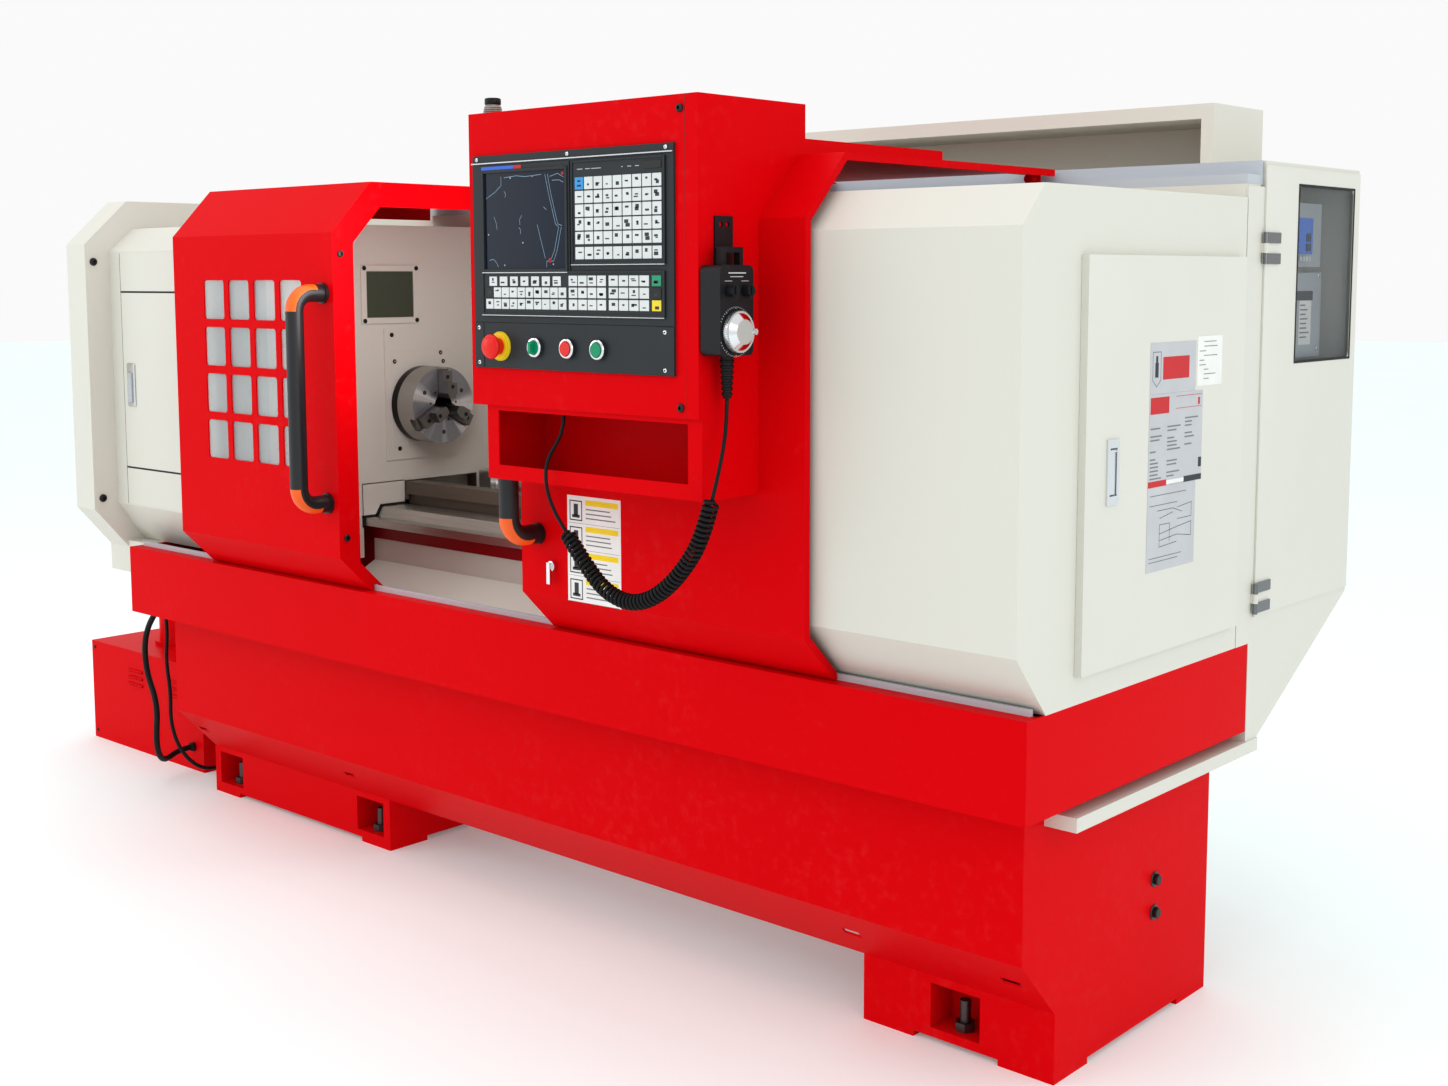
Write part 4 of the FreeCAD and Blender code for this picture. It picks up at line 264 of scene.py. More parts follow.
# %% Start a material
class Paint:
    """A material with a principled shader; `node` adds any node and returns its first output."""

    def __init__(self, name):
        self.material = bpy.data.materials.new(name)
        self.material.use_nodes = True
        self.tree = self.material.node_tree
        self.shader = self.tree.nodes["Principled BSDF"]
        self.spot = self.node("ShaderNodeTexCoord", {}, {}, "Object")

    def node(self, kind, settings, inputs, output=0):
        made = self.tree.nodes.new(kind)
        for name, value in settings.items():
            setattr(made, name, value)
        for key, value in inputs.items():
            self.feed(made.inputs[key], value)
        return Signal(self, made.outputs[output])

    def feed(self, socket, value):
        if isinstance(value, Signal):
            self.tree.links.new(value.socket, socket)
        else:
            socket.default_value = value

    def set(self, **values):
        """Sockets of the shader by name, with underscores for spaces."""
        for name, value in values.items():
            self.feed(self.shader.inputs[name.replace("_", " ")], value)
        return self

    def noise(self, scale, detail=3.0, stretch=(1, 1, 1)):
        place = self.node("ShaderNodeMapping", {}, {"Vector": self.spot, "Scale": stretch})
        return self.node("ShaderNodeTexNoise", {}, {"Vector": place, "Scale": scale, "Detail": detail})

    def mix(self, factor, first, second):
        """Blend two colours."""
        return self.node("ShaderNodeMix", {"data_type": "RGBA"}, {"Factor": factor, 6: first, 7: second}, 2)

    def smooth(self, value, low, high):
        """0 below low, 1 above high, a soft ramp between."""
        return self.node("ShaderNodeMapRange", {"interpolation_type": "SMOOTHSTEP"},
                         {"Value": value, "From Min": low, "From Max": high})

    def axis(self, name):
        """One coordinate of the spot, in metres."""
        return self.node("ShaderNodeSeparateXYZ", {}, {"Vector": self.spot}, "XYZ".index(name))

    def bump(self, height, depth):
        return self.set(Normal=self.node("ShaderNodeBump", {}, {"Height": height, "Distance": depth}))


def tone(red, green, blue):
    """A linear colour with its alpha."""
    return (red, green, blue, 1.0)


def scaled(colour, factor):
    return tone(*(part * factor for part in colour[:3]))


# %% [markdown]
# ## Powder coat
#
# Most of what we see is sprayed powder, baked until it flows. Close up it has orange peel, a very low
# soft wave that breaks the reflections; from afar it has faint cloudiness and a little dust. One recipe
# takes the colour, so the red and the cream are brothers.


# %% Spray the powder
PEEL = 0.00010


def powder_coat(name, colour, roughness, gloss=0.05, sheen=0.30):
    paint = Paint(name)
    cloud, speck = paint.noise(2.2, 3), paint.noise(60, 5)
    dust = paint.smooth(speck * 0.6 + cloud * 0.4, 0.52, 0.75)
    body = paint.mix(cloud, scaled(colour, 0.98), scaled(colour, 1.02))
    paint.set(Base_Color=paint.mix(dust * 0.015, body, tone(0.75, 0.72, 0.68)))
    paint.set(Roughness=roughness + dust * 0.08 + cloud * 0.05)
    paint.set(Coat_Weight=gloss, Coat_Roughness=0.16, Specular_IOR_Level=sheen)
    return paint.bump(paint.noise(420, 2) * 0.8 + paint.noise(140, 2) * 0.6, PEEL)


RED = tone(0.66, 0.0012, 0.0055)
CREAM = tone(0.67, 0.660, 0.600)
red_coat = powder_coat("red_powder_coat", RED, 0.34, 0.0, 0.035)
cream_coat = powder_coat("cream_powder_coat", CREAM, 0.44)
grey_coat = powder_coat("light_grey_paint", tone(0.50, 0.53, 0.57), 0.45)
print("powder coats mixed:", red_coat.material.name, cream_coat.material.name, grey_coat.material.name)

# %% [markdown]
# ## Metals
#
# Bare metal has no colour of its own beyond a grey tint; its character is how its roughness changes.
# Turned steel has long fine lines, so its noise is stretched along one axis. Cast iron is grainy all over
# and bright only where it was ground. Chrome is nearly a mirror with a few smears.


# %% Brushed, cast and plated
def brushed(name, colour, stretch, roughness, dark=0.75):
    paint = Paint(name)
    lines, cloud = paint.noise(260, 3, stretch), paint.noise(9, 4)
    paint.set(Base_Color=paint.mix(lines * 0.6 + cloud * 0.4, scaled(colour, dark), colour), Metallic=1.0)
    paint.set(Roughness=roughness + lines * 0.14 + cloud * 0.08)
    return paint.bump(lines, 0.00006)


def chrome_plate(name, colour):
    paint = Paint(name)
    smear = paint.noise(24, 5)
    paint.set(Base_Color=paint.mix(smear, scaled(colour, 0.9), colour), Metallic=1.0)
    paint.set(Roughness=0.08 + smear * 0.12)
    return paint.bump(paint.noise(90, 2), 0.00003)


turned_steel = brushed("turned_steel", tone(0.82, 0.82, 0.81), (30, 1, 1), 0.24)
dark_steel = brushed("blackened_steel", tone(0.16, 0.15, 0.15), (1, 1, 1), 0.34, 0.45)
jaw_steel = brushed("jaw_steel", tone(0.30, 0.29, 0.28), (1, 1, 1), 0.30, 0.6)
trim_metal = brushed("bright_trim", tone(0.62, 0.64, 0.66), (0.05, 1, 1), 0.30)
zinc = brushed("zinc_housing", tone(0.62, 0.66, 0.69), (1, 1, 6), 0.42)
chrome = chrome_plate("chrome", tone(0.78, 0.78, 0.80))
print("metals: turned, blackened, jaws, trim, zinc, chrome")


# %% [markdown]
# The bed is one casting with three looks: ground ways that shine, a central guide that has gone brown
# with oil, and a painted body. The borders between them are at known heights, so a mask from the Z
# coordinate paints them exactly where a machinist would have stopped the grinder.

# %% The bed's three finishes
WAY_FOOT = 0.6775
GUIDE_FRONT, GUIDE_BACK = -0.0655, -0.0185


def bed_finish():
    paint = Paint("bed_ways")
    height, across = paint.axis("Z"), paint.axis("Y")
    lines, oil = paint.noise(260, 3, (0.03, 1, 1)), paint.noise(7, 5, (0.4, 1, 1))
    way = paint.mix(lines, tone(0.46, 0.46, 0.44), tone(0.72, 0.71, 0.68))
    guide = paint.mix(oil, tone(0.10, 0.085, 0.07), tone(0.26, 0.23, 0.19))
    body = paint.mix(oil, tone(0.30, 0.006, 0.012), tone(0.42, 0.010, 0.018))
    on_way = paint.smooth(height, WAY_FOOT, WAY_FOOT + MM)
    on_guide = (across > GUIDE_FRONT) * (across < GUIDE_BACK) * on_way
    paint.set(Base_Color=paint.mix(on_guide, paint.mix(on_way, body, way), guide))
    paint.set(Metallic=on_way * (1 - on_guide * 0.5), Roughness=0.26 + oil * 0.22 + on_guide * 0.10)
    return paint.bump(lines + paint.noise(320, 2) * (1 - on_way) * 3, 0.00008)


def casting_finish():
    paint = Paint("painted_casting")
    grain, cloud = paint.noise(380, 3), paint.noise(6, 3)
    paint.set(Base_Color=paint.mix(cloud, tone(0.42, 0.42, 0.38), tone(0.52, 0.52, 0.47)))
    paint.set(Roughness=0.55 + cloud * 0.1)
    return paint.bump(grain + paint.noise(120, 3), 0.0003)


def saddle_finish():
    paint = Paint("oiled_iron")
    lines, oil = paint.noise(300, 3, (1, 1, 0.1)), paint.noise(12, 4)
    paint.set(Base_Color=paint.mix(oil, tone(0.24, 0.23, 0.21), tone(0.40, 0.39, 0.36)), Metallic=0.85)
    paint.set(Roughness=0.30 + oil * 0.2 + lines * 0.08)
    return paint.bump(lines, 0.00008)


bed_ways, casting, oiled_iron = bed_finish(), casting_finish(), saddle_finish()
print("bed, casting and saddle finished")

# %% [markdown]
# The chuck was turned, so its face carries fine rings round the spindle's centre. Broad bright and dark
# streaks run out from the centre. They are painted highlights and painted reflections, standing in for the
# sectors that light up on a turned face. Its rim is painted darker, a painted reflection of the dark bands on
# a shiny side, and the adapter behind it is black. Distance from the centre gives the rings; the direction
# from the centre gives the painted highlight streaks.

# %% The chuck's rings
CHUCK_Y, CHUCK_Z = -0.015, 0.939
FACE_SKIN, ADAPTER = 0.0008, 0.020
chuck_back, chuck_front = (corner.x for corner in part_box("chuck_body"))


def chuck_finish():
    paint = Paint("chuck_steel")
    length, out, up = paint.axis("X"), paint.axis("Y") + -CHUCK_Y, paint.axis("Z") + -CHUCK_Z
    reach = (out * out + up * up).root()
    direction = paint.node("ShaderNodeCombineXYZ", {}, {0: out / reach, 1: up / reach})
    # Noise on the direction from the centre gives the face's painted highlight sectors.
    painted_highlight_streaks = paint.node("ShaderNodeTexNoise", {}, {"Vector": direction, "Scale": 1.7, "Detail": 2.0})
    rings = paint.node("ShaderNodeTexNoise", {"noise_dimensions": "1D"},
                       {"W": reach, "Scale": 700.0, "Detail": 2.0})
    lines = paint.noise(260, 3, (30, 1, 1))
    # Bright and dark sectors on the face are painted highlights and painted reflections; the rim's darker
    # tone is a painted reflection of a shiny side's dark bands.
    face = paint.mix(paint.smooth(painted_highlight_streaks, 0.44, 0.66), tone(0.34, 0.35, 0.39), tone(0.86, 0.87, 0.90))
    rim = paint.mix(lines, tone(0.34, 0.34, 0.33), tone(0.50, 0.49, 0.47))
    on_face, on_adapter = length > chuck_front - FACE_SKIN, length < chuck_back + ADAPTER
    paint.set(Base_Color=paint.mix(on_adapter, paint.mix(on_face, rim, face), tone(0.035, 0.035, 0.035)))
    paint.set(Metallic=0.95, Roughness=0.24 + rings * 0.12)
    return paint.bump(rings * on_face + lines * (1 - on_face), 0.00006)


chuck_steel = chuck_finish()
print("chuck from x =", round(chuck_back, 3), "to", round(chuck_front, 3))


# %% [markdown]
# ## Plastics, rubber and glass
#
# Moulded plastic is simple: one colour, a fine leathery grain in the bump, and soft highlights. Rubber is
# the same with no highlights to speak of, and print is the same with almost no grain. A clear pane lets
# light through by its alpha; a slight waviness and a film of dust on it stop it from vanishing.

# %% Moulded parts, print and panes
def moulded(name, colour, roughness=0.45, grain=0.00008, scale=700, coat=0.0, sheen=0.5):
    paint = Paint(name)
    cloud, leather = paint.noise(18, 3), paint.noise(scale, 3)
    paint.set(Base_Color=paint.mix(cloud, scaled(colour, 0.88), scaled(colour, 1.12)))
    paint.set(Roughness=roughness + cloud * 0.08)
    paint.set(Coat_Weight=coat, Coat_Roughness=0.08, Specular_IOR_Level=sheen)
    return paint.bump(leather, grain)


def printed(name, colour, roughness):
    return moulded(name, colour, roughness, 0.00002, 900)


def clear_pane(name, tint, alpha, roughness=0.06):
    paint = Paint(name)
    film = paint.noise(5, 4)
    paint.set(Base_Color=paint.mix(film, scaled(tint, 0.9), tint), Roughness=roughness + film * 0.06)
    paint.set(Alpha=alpha + film * 0.12, Specular_IOR_Level=0.7)
    return paint.bump(paint.noise(3, 2), 0.0004)


black_plastic = moulded("black_grip_plastic", tone(0.012, 0.012, 0.014), 0.36, sheen=0.30)
pendant_plastic = moulded("pendant_plastic", tone(0.013, 0.013, 0.016), 0.42, 0.00012, sheen=0.30)
cable_rubber = moulded("cable_rubber", tone(0.010, 0.010, 0.011), 0.5, sheen=0.25)
belt_rubber = moulded("belt_rubber", tone(0.02, 0.02, 0.02), 0.7)
gasket_rubber = moulded("gasket_rubber", tone(0.010, 0.010, 0.010), 0.6)
panel_plate = moulded("panel_plate", tone(0.036, 0.040, 0.044), 0.42, 0.00006, 900, sheen=0.22)
stop_red = moulded("stop_red", tone(0.74, 0.016, 0.012), 0.26, 0.00003, 300, 0.1, 0.3)
cap_red = moulded("cap_red", tone(0.70, 0.020, 0.015), 0.18, 0.00003, 300, 0.2, 0.4)
cap_green = moulded("cap_green", tone(0.004, 0.27, 0.13), 0.18, 0.00003, 300, 0.2, 0.4)
warning_yellow = moulded("warning_yellow", tone(0.84, 0.62, 0.020), 0.32, 0.00003, 900, sheen=0.2)
key_white = moulded("key_white", tone(0.66, 0.68, 0.68), 0.42)
key_blue = moulded("key_blue", tone(0.03, 0.30, 0.68), 0.40)
key_green = moulded("key_green", tone(0.01, 0.30, 0.15), 0.40)
key_yellow = moulded("key_yellow", tone(0.80, 0.62, 0.03), 0.40)
key_ink = moulded("key_ink", tone(0.03, 0.035, 0.045), 0.5)
paper_white = moulded("paper_white", tone(0.80, 0.80, 0.78), 0.55)
smoked = moulded("smoked_lens", tone(0.22, 0.20, 0.17), 0.12, 0.00003, 300, 0.8)
drive_blue = moulded("drive_blue", tone(0.015, 0.16, 0.70), 0.35, 0.00003, 900)
red_shadow = moulded("red_shadow", tone(0.12, 0.002, 0.003), 0.5, 0.00003, 900)
socket_black = moulded("socket_black", tone(0.008, 0.008, 0.009), 0.38, 0.00004, 900)
screen_glass = moulded("display_glass", tone(0.010, 0.017, 0.032), 0.14, 0.00001, 200, sheen=0.16)
label_silver = printed("label_silver", tone(0.50, 0.51, 0.53), 0.34)
print_grey = printed("print_grey", tone(0.20, 0.20, 0.21), 0.50)
print_red = printed("print_red", tone(0.55, 0.008, 0.015), 0.45)
screen_blue = printed("screen_blue", tone(0.02, 0.12, 0.62), 0.35)
screen_line = printed("screen_line", tone(0.22, 0.33, 0.45), 0.35)
pane_clear = clear_pane("clear_pane", tone(0.62, 0.68, 0.70), 0.30)
view_clear = clear_pane("dark_view_pane", tone(0.14, 0.16, 0.18), 0.14)
lamp_glass = clear_pane("work_light_glass", tone(0.050, 0.065, 0.040), 0.92, 0.10)
print("moulded finishes, print and panes ready")

# %% [markdown]
# ## Dress the solids
#
# Every solid keeps its shape and gets one finish. Sheet metal is never razor sharp, so a small bevel
# modifier rounds its edges and catches a thin highlight; the modifier works on the shown mesh and leaves
# the solid alone.

# %% Hand out the finishes
for line in (curly_lead, hose, pump_lead):
    line.data.materials.append(cable_rubber.material)
FINISHES = [
    (red_coat, ["left_pedestal", "right_pedestal", "front_skirt", "chip_tray", "left_door", "right_door",
                "control_box", "coolant_tank", "coolant_pump"]),
    (cream_coat, ["chip_chute", "headstock_cover", "gear_end_cover", "rear_splash_guard", "rear_cabinet",
                  "top_box", "tail_guard"]),
    (bed_ways, ["bed_casting"]),
    (casting, ["headstock_casting", "spindle_motor", "tailstock"]),
    (oiled_iron, ["carriage", "cross_slide"]),
    (chuck_steel, ["chuck_body"]),
    (turned_steel, ["spindle", "motor_pulley", "z_screw", "quill", "tailstock_wheel"]),
    (jaw_steel, ["chuck_jaw_1", "chuck_jaw_2", "chuck_jaw_3", "tool_turret"]),
    (dark_steel, ["levelling_bolts"]),
    (screen_glass, ["screen"]),
    (chrome, ["tail_latch", "door_lock", "mpg_wheel"]),
    (zinc, ["drive_units"]),
    (grey_coat, ["door_rails"]),
    (panel_plate, ["control_panel"]),
    (pendant_plastic, ["mpg_body", "mpg_knob_1", "mpg_knob_2"]),
    (belt_rubber, ["drive_belt"]),
    (cap_red, ["red_button"]),
    (cap_green, ["green_button", "green_selector"]),
    (pane_clear, ["left_glazing"]),
    (view_clear, ["cabinet_window"]),
]
SOFTENED = ["left_door", "right_door", "control_box", "tail_guard", "tail_door", "headstock_cover",
            "gear_end_cover", "rear_cabinet", "top_box", "chip_tray", "front_skirt", "left_pedestal",
            "right_pedestal", "coolant_tank"]
SHEET_EDGE = 0.0012


def wear(thing, paint):
    """Put one material on a thing, whatever it wore before."""
    thing.data.materials.clear()
    thing.data.materials.append(paint.material)


def soften(thing):
    """Round the sharp edges of the shown mesh."""
    bevel = thing.modifiers.new("edge", "BEVEL")
    bevel.width = SHEET_EDGE
    bevel.segments = 2
    bevel.limit_method = "ANGLE"
    bevel.angle_limit = math.radians(50)
    bevel.harden_normals = False


for paint, names in FINISHES:
    for name in names:
        wear(nodes[name], paint)
for name in SOFTENED:
    soften(nodes[name])
print(sum(len(names) for _, names in FINISHES), "solids dressed")


# %% [markdown]
# Two doors wear two finishes at once, because a hinge leaf or a latch frame is welded or screwed to the
# sheet it works on. Again a mask from the coordinates says where one finish stops: just above the door's
# own sheet.

# %% Hinges and latch frames on cream doors
SKIN_GAP = 0.0004


def cream_with_metal(name, skin_x, metal_tone):
    """Cream powder coat that turns to bare metal wherever the solid stands proud of the door's skin."""
    paint = Paint(name)
    metal = paint.axis("X") > skin_x + SKIN_GAP
    cloud, smear = paint.noise(2.5, 4), paint.noise(24, 5)
    cream = paint.mix(cloud, scaled(CREAM, 0.93), scaled(CREAM, 1.07))
    paint.set(Base_Color=paint.mix(metal, cream, metal_tone), Metallic=metal)
    paint.set(Roughness=(1 - metal) * 0.44 + metal * (0.10 + smear * 0.15))
    return paint.bump(paint.noise(420, 2) * (1 - metal), 0.00012)


tail_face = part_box("tail_door")[1].x - 0.003
cabinet_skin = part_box("cabinet_window")[1].x + 0.0031
wear(nodes["tail_door"], cream_with_metal("tail_door_finish", tail_face, tone(0.74, 0.74, 0.76)))
wear(nodes["cabinet_door"], cream_with_metal("cabinet_door_finish", cabinet_skin, tone(0.20, 0.20, 0.21)))
print("door skins at x =", round(tail_face, 4), "and", round(cabinet_skin, 4))


# %% [markdown]
# The door handles are black with an orange insert on the outside of each bend. The insert follows the
# bend's own circle, so the mask is a distance: outside the bend's radius, and past the line where the
# straight bar ends.

# %% Two-tone handles
DOOR_FACE = -0.490
GRIP_REACH, GRIP_BEND = 0.066, 0.034
GRIP_FEET = {"left_handle": 0.020, "right_handle": 0.0185}


def handle_finish(name, low, high):
    paint = Paint(name)
    height, across = paint.axis("Z"), paint.axis("Y")
    out = DOOR_FACE - GRIP_REACH + GRIP_BEND - across
    inserts = 0
    for bend_z, way in ((low + GRIP_BEND, -1), (high - GRIP_BEND, 1)):
        up = (height - bend_z) * way
        reach = (out * out + up * up).root()
        inserts = inserts + (reach > GRIP_BEND + 0.007) * (up > 0.0) * (out > -0.010)
    grain = paint.noise(700, 3)
    paint.set(Base_Color=paint.mix(inserts, tone(0.016, 0.016, 0.018), tone(0.86, 0.13, 0.010)))
    paint.set(Roughness=0.30 + grain * 0.12)
    return paint.bump(grain, 0.00006)


for name, foot in GRIP_FEET.items():
    low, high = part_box(name)
    wear(nodes[name], handle_finish(name + "_finish", low.z + foot, high.z - foot))
print("doors finished")

# %% [markdown]
# ## A small workshop for small parts
#
# Screws, rings, knobs and glands are turned things: a profile spun round an axis. Keys, plates and frames
# are sheet and block things: a box with its edges taken off. Drawn lines are strokes: flat ribbons along
# a path. So we write one tool for each, and all add to an open bmesh, which lets a hundred keys share one
# mesh and one material.

# %% Turn a profile, chamfer a block, draw a stroke
FACING = {
    "front": Matrix.Rotation(math.radians(90), 4, "X"),
    "right": Matrix.Rotation(math.radians(90), 4, "Y"),
    "up": Matrix.Identity(4),
    "down": Matrix.Rotation(math.radians(180), 4, "X"),
}


def add_turned(shape, profile, place, facing, sides=24):
    """Spin (radius, height) pairs, in millimetres, round an axis that leaves a place in one direction."""
    stand = Matrix.Translation(place) @ FACING[facing]
    rings = []
    for radius, height in profile:
        count = sides if radius > 0 else 1
        spots = [(radius * math.cos(math.tau * i / count), radius * math.sin(math.tau * i / count), height)
                 for i in range(count)]
        rings.append([shape.verts.new(stand @ (Vector(spot) * MM)) for spot in spots])
    for lower, upper in zip(rings, rings[1:]):
        for i in range(sides):
            corners = [lower[i % len(lower)], lower[(i + 1) % len(lower)], upper[(i + 1) % len(upper)],
                       upper[i % len(upper)]]
            distinct = list(dict.fromkeys(corners))
            if len(distinct) > 2:
                shape.faces.new(distinct)


def add_block(shape, low, high, edge=0.0):
    """A box between two corners in metres, with its edges taken off by a small amount."""
    low, high = Vector(low), Vector(high)
    made = bmesh.ops.create_cube(shape, size=1.0)["verts"]
    for corner in made:
        corner.co = Vector((low[k] + (corner.co[k] + 0.5) * (high[k] - low[k]) for k in range(3)))
    if edge > 0:
        edges = {line for corner in made for line in corner.link_edges}
        bmesh.ops.bevel(shape, geom=list(edges), offset=edge, segments=1, affect="EDGES")


def add_stroke(shape, points, width, outward):
    """A flat ribbon along points in metres, on a face that looks outward."""
    for start, end in zip(points, points[1:]):
        a, b = Vector(start), Vector(end)
        side = Vector(outward).cross((b - a).normalized()) * width / 2
        shape.faces.new([shape.verts.new(spot) for spot in (a - side, b - side, b + side, a + side)])


def finish_piece(name, shape, paint, body, smooth=False):
    """Close a bmesh into an object that wears a finish and rides a body."""
    bmesh.ops.recalc_face_normals(shape, faces=shape.faces)
    mesh = bpy.data.meshes.new(name)
    shape.to_mesh(mesh)
    shape.free()
    thing = bpy.data.objects.new(name, mesh)
    bpy.context.scene.collection.objects.link(thing)
    if smooth:
        mesh.shade_smooth()
        mesh.set_sharp_from_angle(angle=math.radians(35))
    wear(thing, paint)
    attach(thing, body)
    return thing


def turned_piece(name, profile, places, facing, paint, body, sides=24):
    shape = bmesh.new()
    for place in places:
        add_turned(shape, profile, place, facing, sides)
    return finish_piece(name, shape, paint, body, smooth=True)


def block_piece(name, blocks, paint, body, edge=0.0):
    shape = bmesh.new()
    for low, high in blocks:
        add_block(shape, low, high, edge)
    return finish_piece(name, shape, paint, body)


print("tools: add_turned, add_block, add_stroke, finish_piece")

# %% [markdown]
# ## Screws
#
# Most of the sheet metal is held by black button-head screws with a hexagon socket. One profile serves
# them all: up the outside, over a rounded shoulder and down into the socket. The size goes in as the
# head's radius.


# %% Button heads
def button_head(radius):
    return [(radius, 0), (radius, radius * 0.25), (radius * 0.80, radius * 0.50),
            (radius * 0.45, radius * 0.58), (radius * 0.42, radius * 0.20), (0, radius * 0.18)]


def black_screws(name, radius, places, facing, body):
    turned_piece(name, button_head(radius), places, facing, socket_black, body)


CONSOLE_FRONT = -0.6234
door_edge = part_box("left_door")[1].x
cover_low, cover_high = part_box("headstock_cover")
tank_low, tank_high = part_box("coolant_tank")
plate_holes = [(-0.093, 1.095), (-0.087, 1.036), (0.043, 1.052), (0.050, 1.032), (-0.077, 0.841),
               (0.056, 0.849), (0.082, 0.857)]
black_screws("left_door_screws", 7, [(door_edge, -0.4727, 1.2667), (door_edge, -0.4727, 0.7181)],
             "right", "left_door")
black_screws("console_screws", 6.5, [(1.0295, CONSOLE_FRONT, 1.463), (1.0295, CONSOLE_FRONT, 1.030)],
             "front", "right_door")
black_screws("gear_cover_plugs", 9, [(cover_low.x, -0.450, 1.259), (cover_low.x, -0.449, 0.712)],
             "right", "frame")
black_screws("nose_plate_screws", 5, [(cover_high.x, y, z) for y, z in plate_holes],
             "right", "frame")
black_screws("tank_screws", 4.5, [(x, tank_low.y, z) for x in (tank_low.x + 0.015, tank_high.x - 0.05)
                                  for z in (0.020, 0.245)], "front", "frame")
print("screws on the doors, console, covers and tank")

# %% [markdown]
# The right pedestal's end carries two hexagon bolts on washers. A six-sided spin is a hexagon prism, so
# the same tool makes them when it is told to use six sides.

# %% Hexagon bolts on the pedestal's end
base_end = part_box("front_skirt")[1].x
bolt_spots = [(base_end, 0.044, 0.242), (base_end, 0.044, 0.186)]
turned_piece("pedestal_washers", [(13, 0), (13, 1.8), (12.4, 2.4), (0, 2.4)], bolt_spots, "right", dark_steel,
             "frame")
turned_piece("pedestal_bolts", [(9.5, 2), (9.5, 8.2), (8.4, 9.4), (0, 9.6)], bolt_spots, "right",
             socket_black, "frame", sides=6)
print("two hexagon bolts at x =", round(base_end, 3))

# %% [markdown]
# ## The operator's panel
#
# The panel is where a viewer looks first. It is a dark plate with raised frames; each frame's lower edge
# is a bright bevel that catches the light from below. The keys are small white pads in three groups, each
# with a dark generic mark. A seeded random generator varies the marks, so every run draws the same panel.

# %% Frames and bright edges
PANEL_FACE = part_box("screen")[0].y
PLATE = 0.0015
PLATE_FACE = PANEL_FACE - PLATE
PANEL_LEFT, PANEL_RIGHT = 0.574, 1.0203
BRIGHT = 0.0026
screen_low, screen_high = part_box("screen")


def panel_block(left, right, low, high, proud, sunk=0.0):
    """A box on the panel's plate: its outline, how far it stands proud and how far it sinks in."""
    return ((left, PLATE_FACE - proud, low), (right, PLATE_FACE + sunk, high))


def on_panel(name, blocks, paint, edge=0.0):
    """The panel slides with the right door, and so does all that is fixed to it."""
    block_piece(name, blocks, paint, "right_door", edge)


def frame_piece(name, left, right, low, high, wide, proud):
    """A picture frame on the panel: four bars with softened edges."""
    outlines = [(left - wide, left, low - wide, high + wide), (right, right + wide, low - wide, high + wide),
                (left, right, low - wide, low), (left, right, high, high + wide)]
    on_panel(name, [panel_block(*outline, proud, 0.0002) for outline in outlines], panel_plate, 0.0006)


frame_piece("screen_frame_bars", screen_low.x, screen_high.x, screen_low.z, screen_high.z, 0.005, 0.0022)
frame_piece("right_keys_frame", 0.8100, 1.0010, 1.2440, 1.3940, 0.0035, 0.0016)
frame_piece("lower_keys_frame", 0.6000, 1.0000, 1.1650, 1.2270, 0.0035, 0.0016)
bright = [panel_block(PANEL_LEFT, PANEL_RIGHT, 1.4010, 1.4030, 0.0018, PLATE),
          panel_block(screen_low.x - 0.005, screen_high.x + 0.005,
                      screen_low.z - 0.0064, screen_low.z - 0.0048, BRIGHT),
          panel_block(0.8065, 1.0045, 1.2390, 1.2405, BRIGHT),
          panel_block(0.5965, 1.0035, 1.1600, 1.1615, BRIGHT)]
on_panel("panel_bright_edges", bright, trim_metal, 0.0003)
flanges = [panel_block(left, right, 1.0765, 1.1475, -0.0006, PLATE)
           for left, right in ((PANEL_LEFT, PANEL_LEFT + 0.022), (PANEL_RIGHT - 0.036, PANEL_RIGHT))]
on_panel("panel_side_flanges", flanges, panel_plate, 0.0003)
print("screen recess", [round(high - low, 3) for low, high in zip(screen_low, screen_high)], "m")

# %% Keys and their marks
marks_rng = random.Random(7)
key_paints = {"white": key_white, "blue": key_blue, "green": key_green, "yellow": key_yellow,
              "grey": socket_black}
keys = {colour: [] for colour in key_paints}
marks = []
LOWER_TOP, LOWER_STEP = 1.2074, 0.0183


def add_key(colour, x, z, wide, high):
    """One key pad from its lower left corner, with a small generic mark on it."""
    keys[colour].append(panel_block(x, x + wide, z, z + high, 0.0012))
    middle_x, middle_z = x + wide / 2, z + high / 2
    for _ in range(marks_rng.choice((1, 2, 2))):
        half_x = marks_rng.uniform(0.10, 0.24) * wide
        half_z = marks_rng.choice((0.05, 0.08, 0.14)) * high
        at_x = middle_x + marks_rng.uniform(-0.10, 0.10) * wide
        at_z = middle_z + marks_rng.uniform(-0.22, 0.22) * high
        marks.append(panel_block(at_x - half_x, at_x + half_x, at_z - half_z, at_z + half_z,
                                 0.00135, -0.00115))


def add_lower_key(colour, x, row, wide, high=0.0160):
    add_key(colour, x, LOWER_TOP - LOWER_STEP * row, wide, high)


for row in range(6):
    for column in range(9):
        colour = "blue" if column == 0 and row == 0 else "white"
        drop = 0.0023 if row == 5 else 0.0
        add_key(colour, 0.8153 + 0.0205 * column, 1.3533 - 0.0206 * row - drop, 0.0188, 0.0187)
for column in range(7):
    add_lower_key("white", 0.6138 + 0.0249 * column, 0, 0.0185, 0.0150)
for row in (1, 2):
    for column in range(10):
        add_lower_key("grey" if row == 1 and column == 0 else "white", 0.6051 + 0.0190 * column, row, 0.0176)
for start, pitch in ((0.7993, 0.0209), (0.8870, 0.0216)):
    for row in range(3):
        for column in range(4):
            add_lower_key("white", start + pitch * column, row, pitch - 0.0018)
for row, colour in enumerate(("green", "grey", "yellow")):
    add_lower_key(colour, 0.9775, row, 0.0190)
for colour, blocks in keys.items():
    on_panel(f"keys_{colour}", blocks, key_paints[colour], 0.0005)
on_panel("key_marks", marks, key_ink)
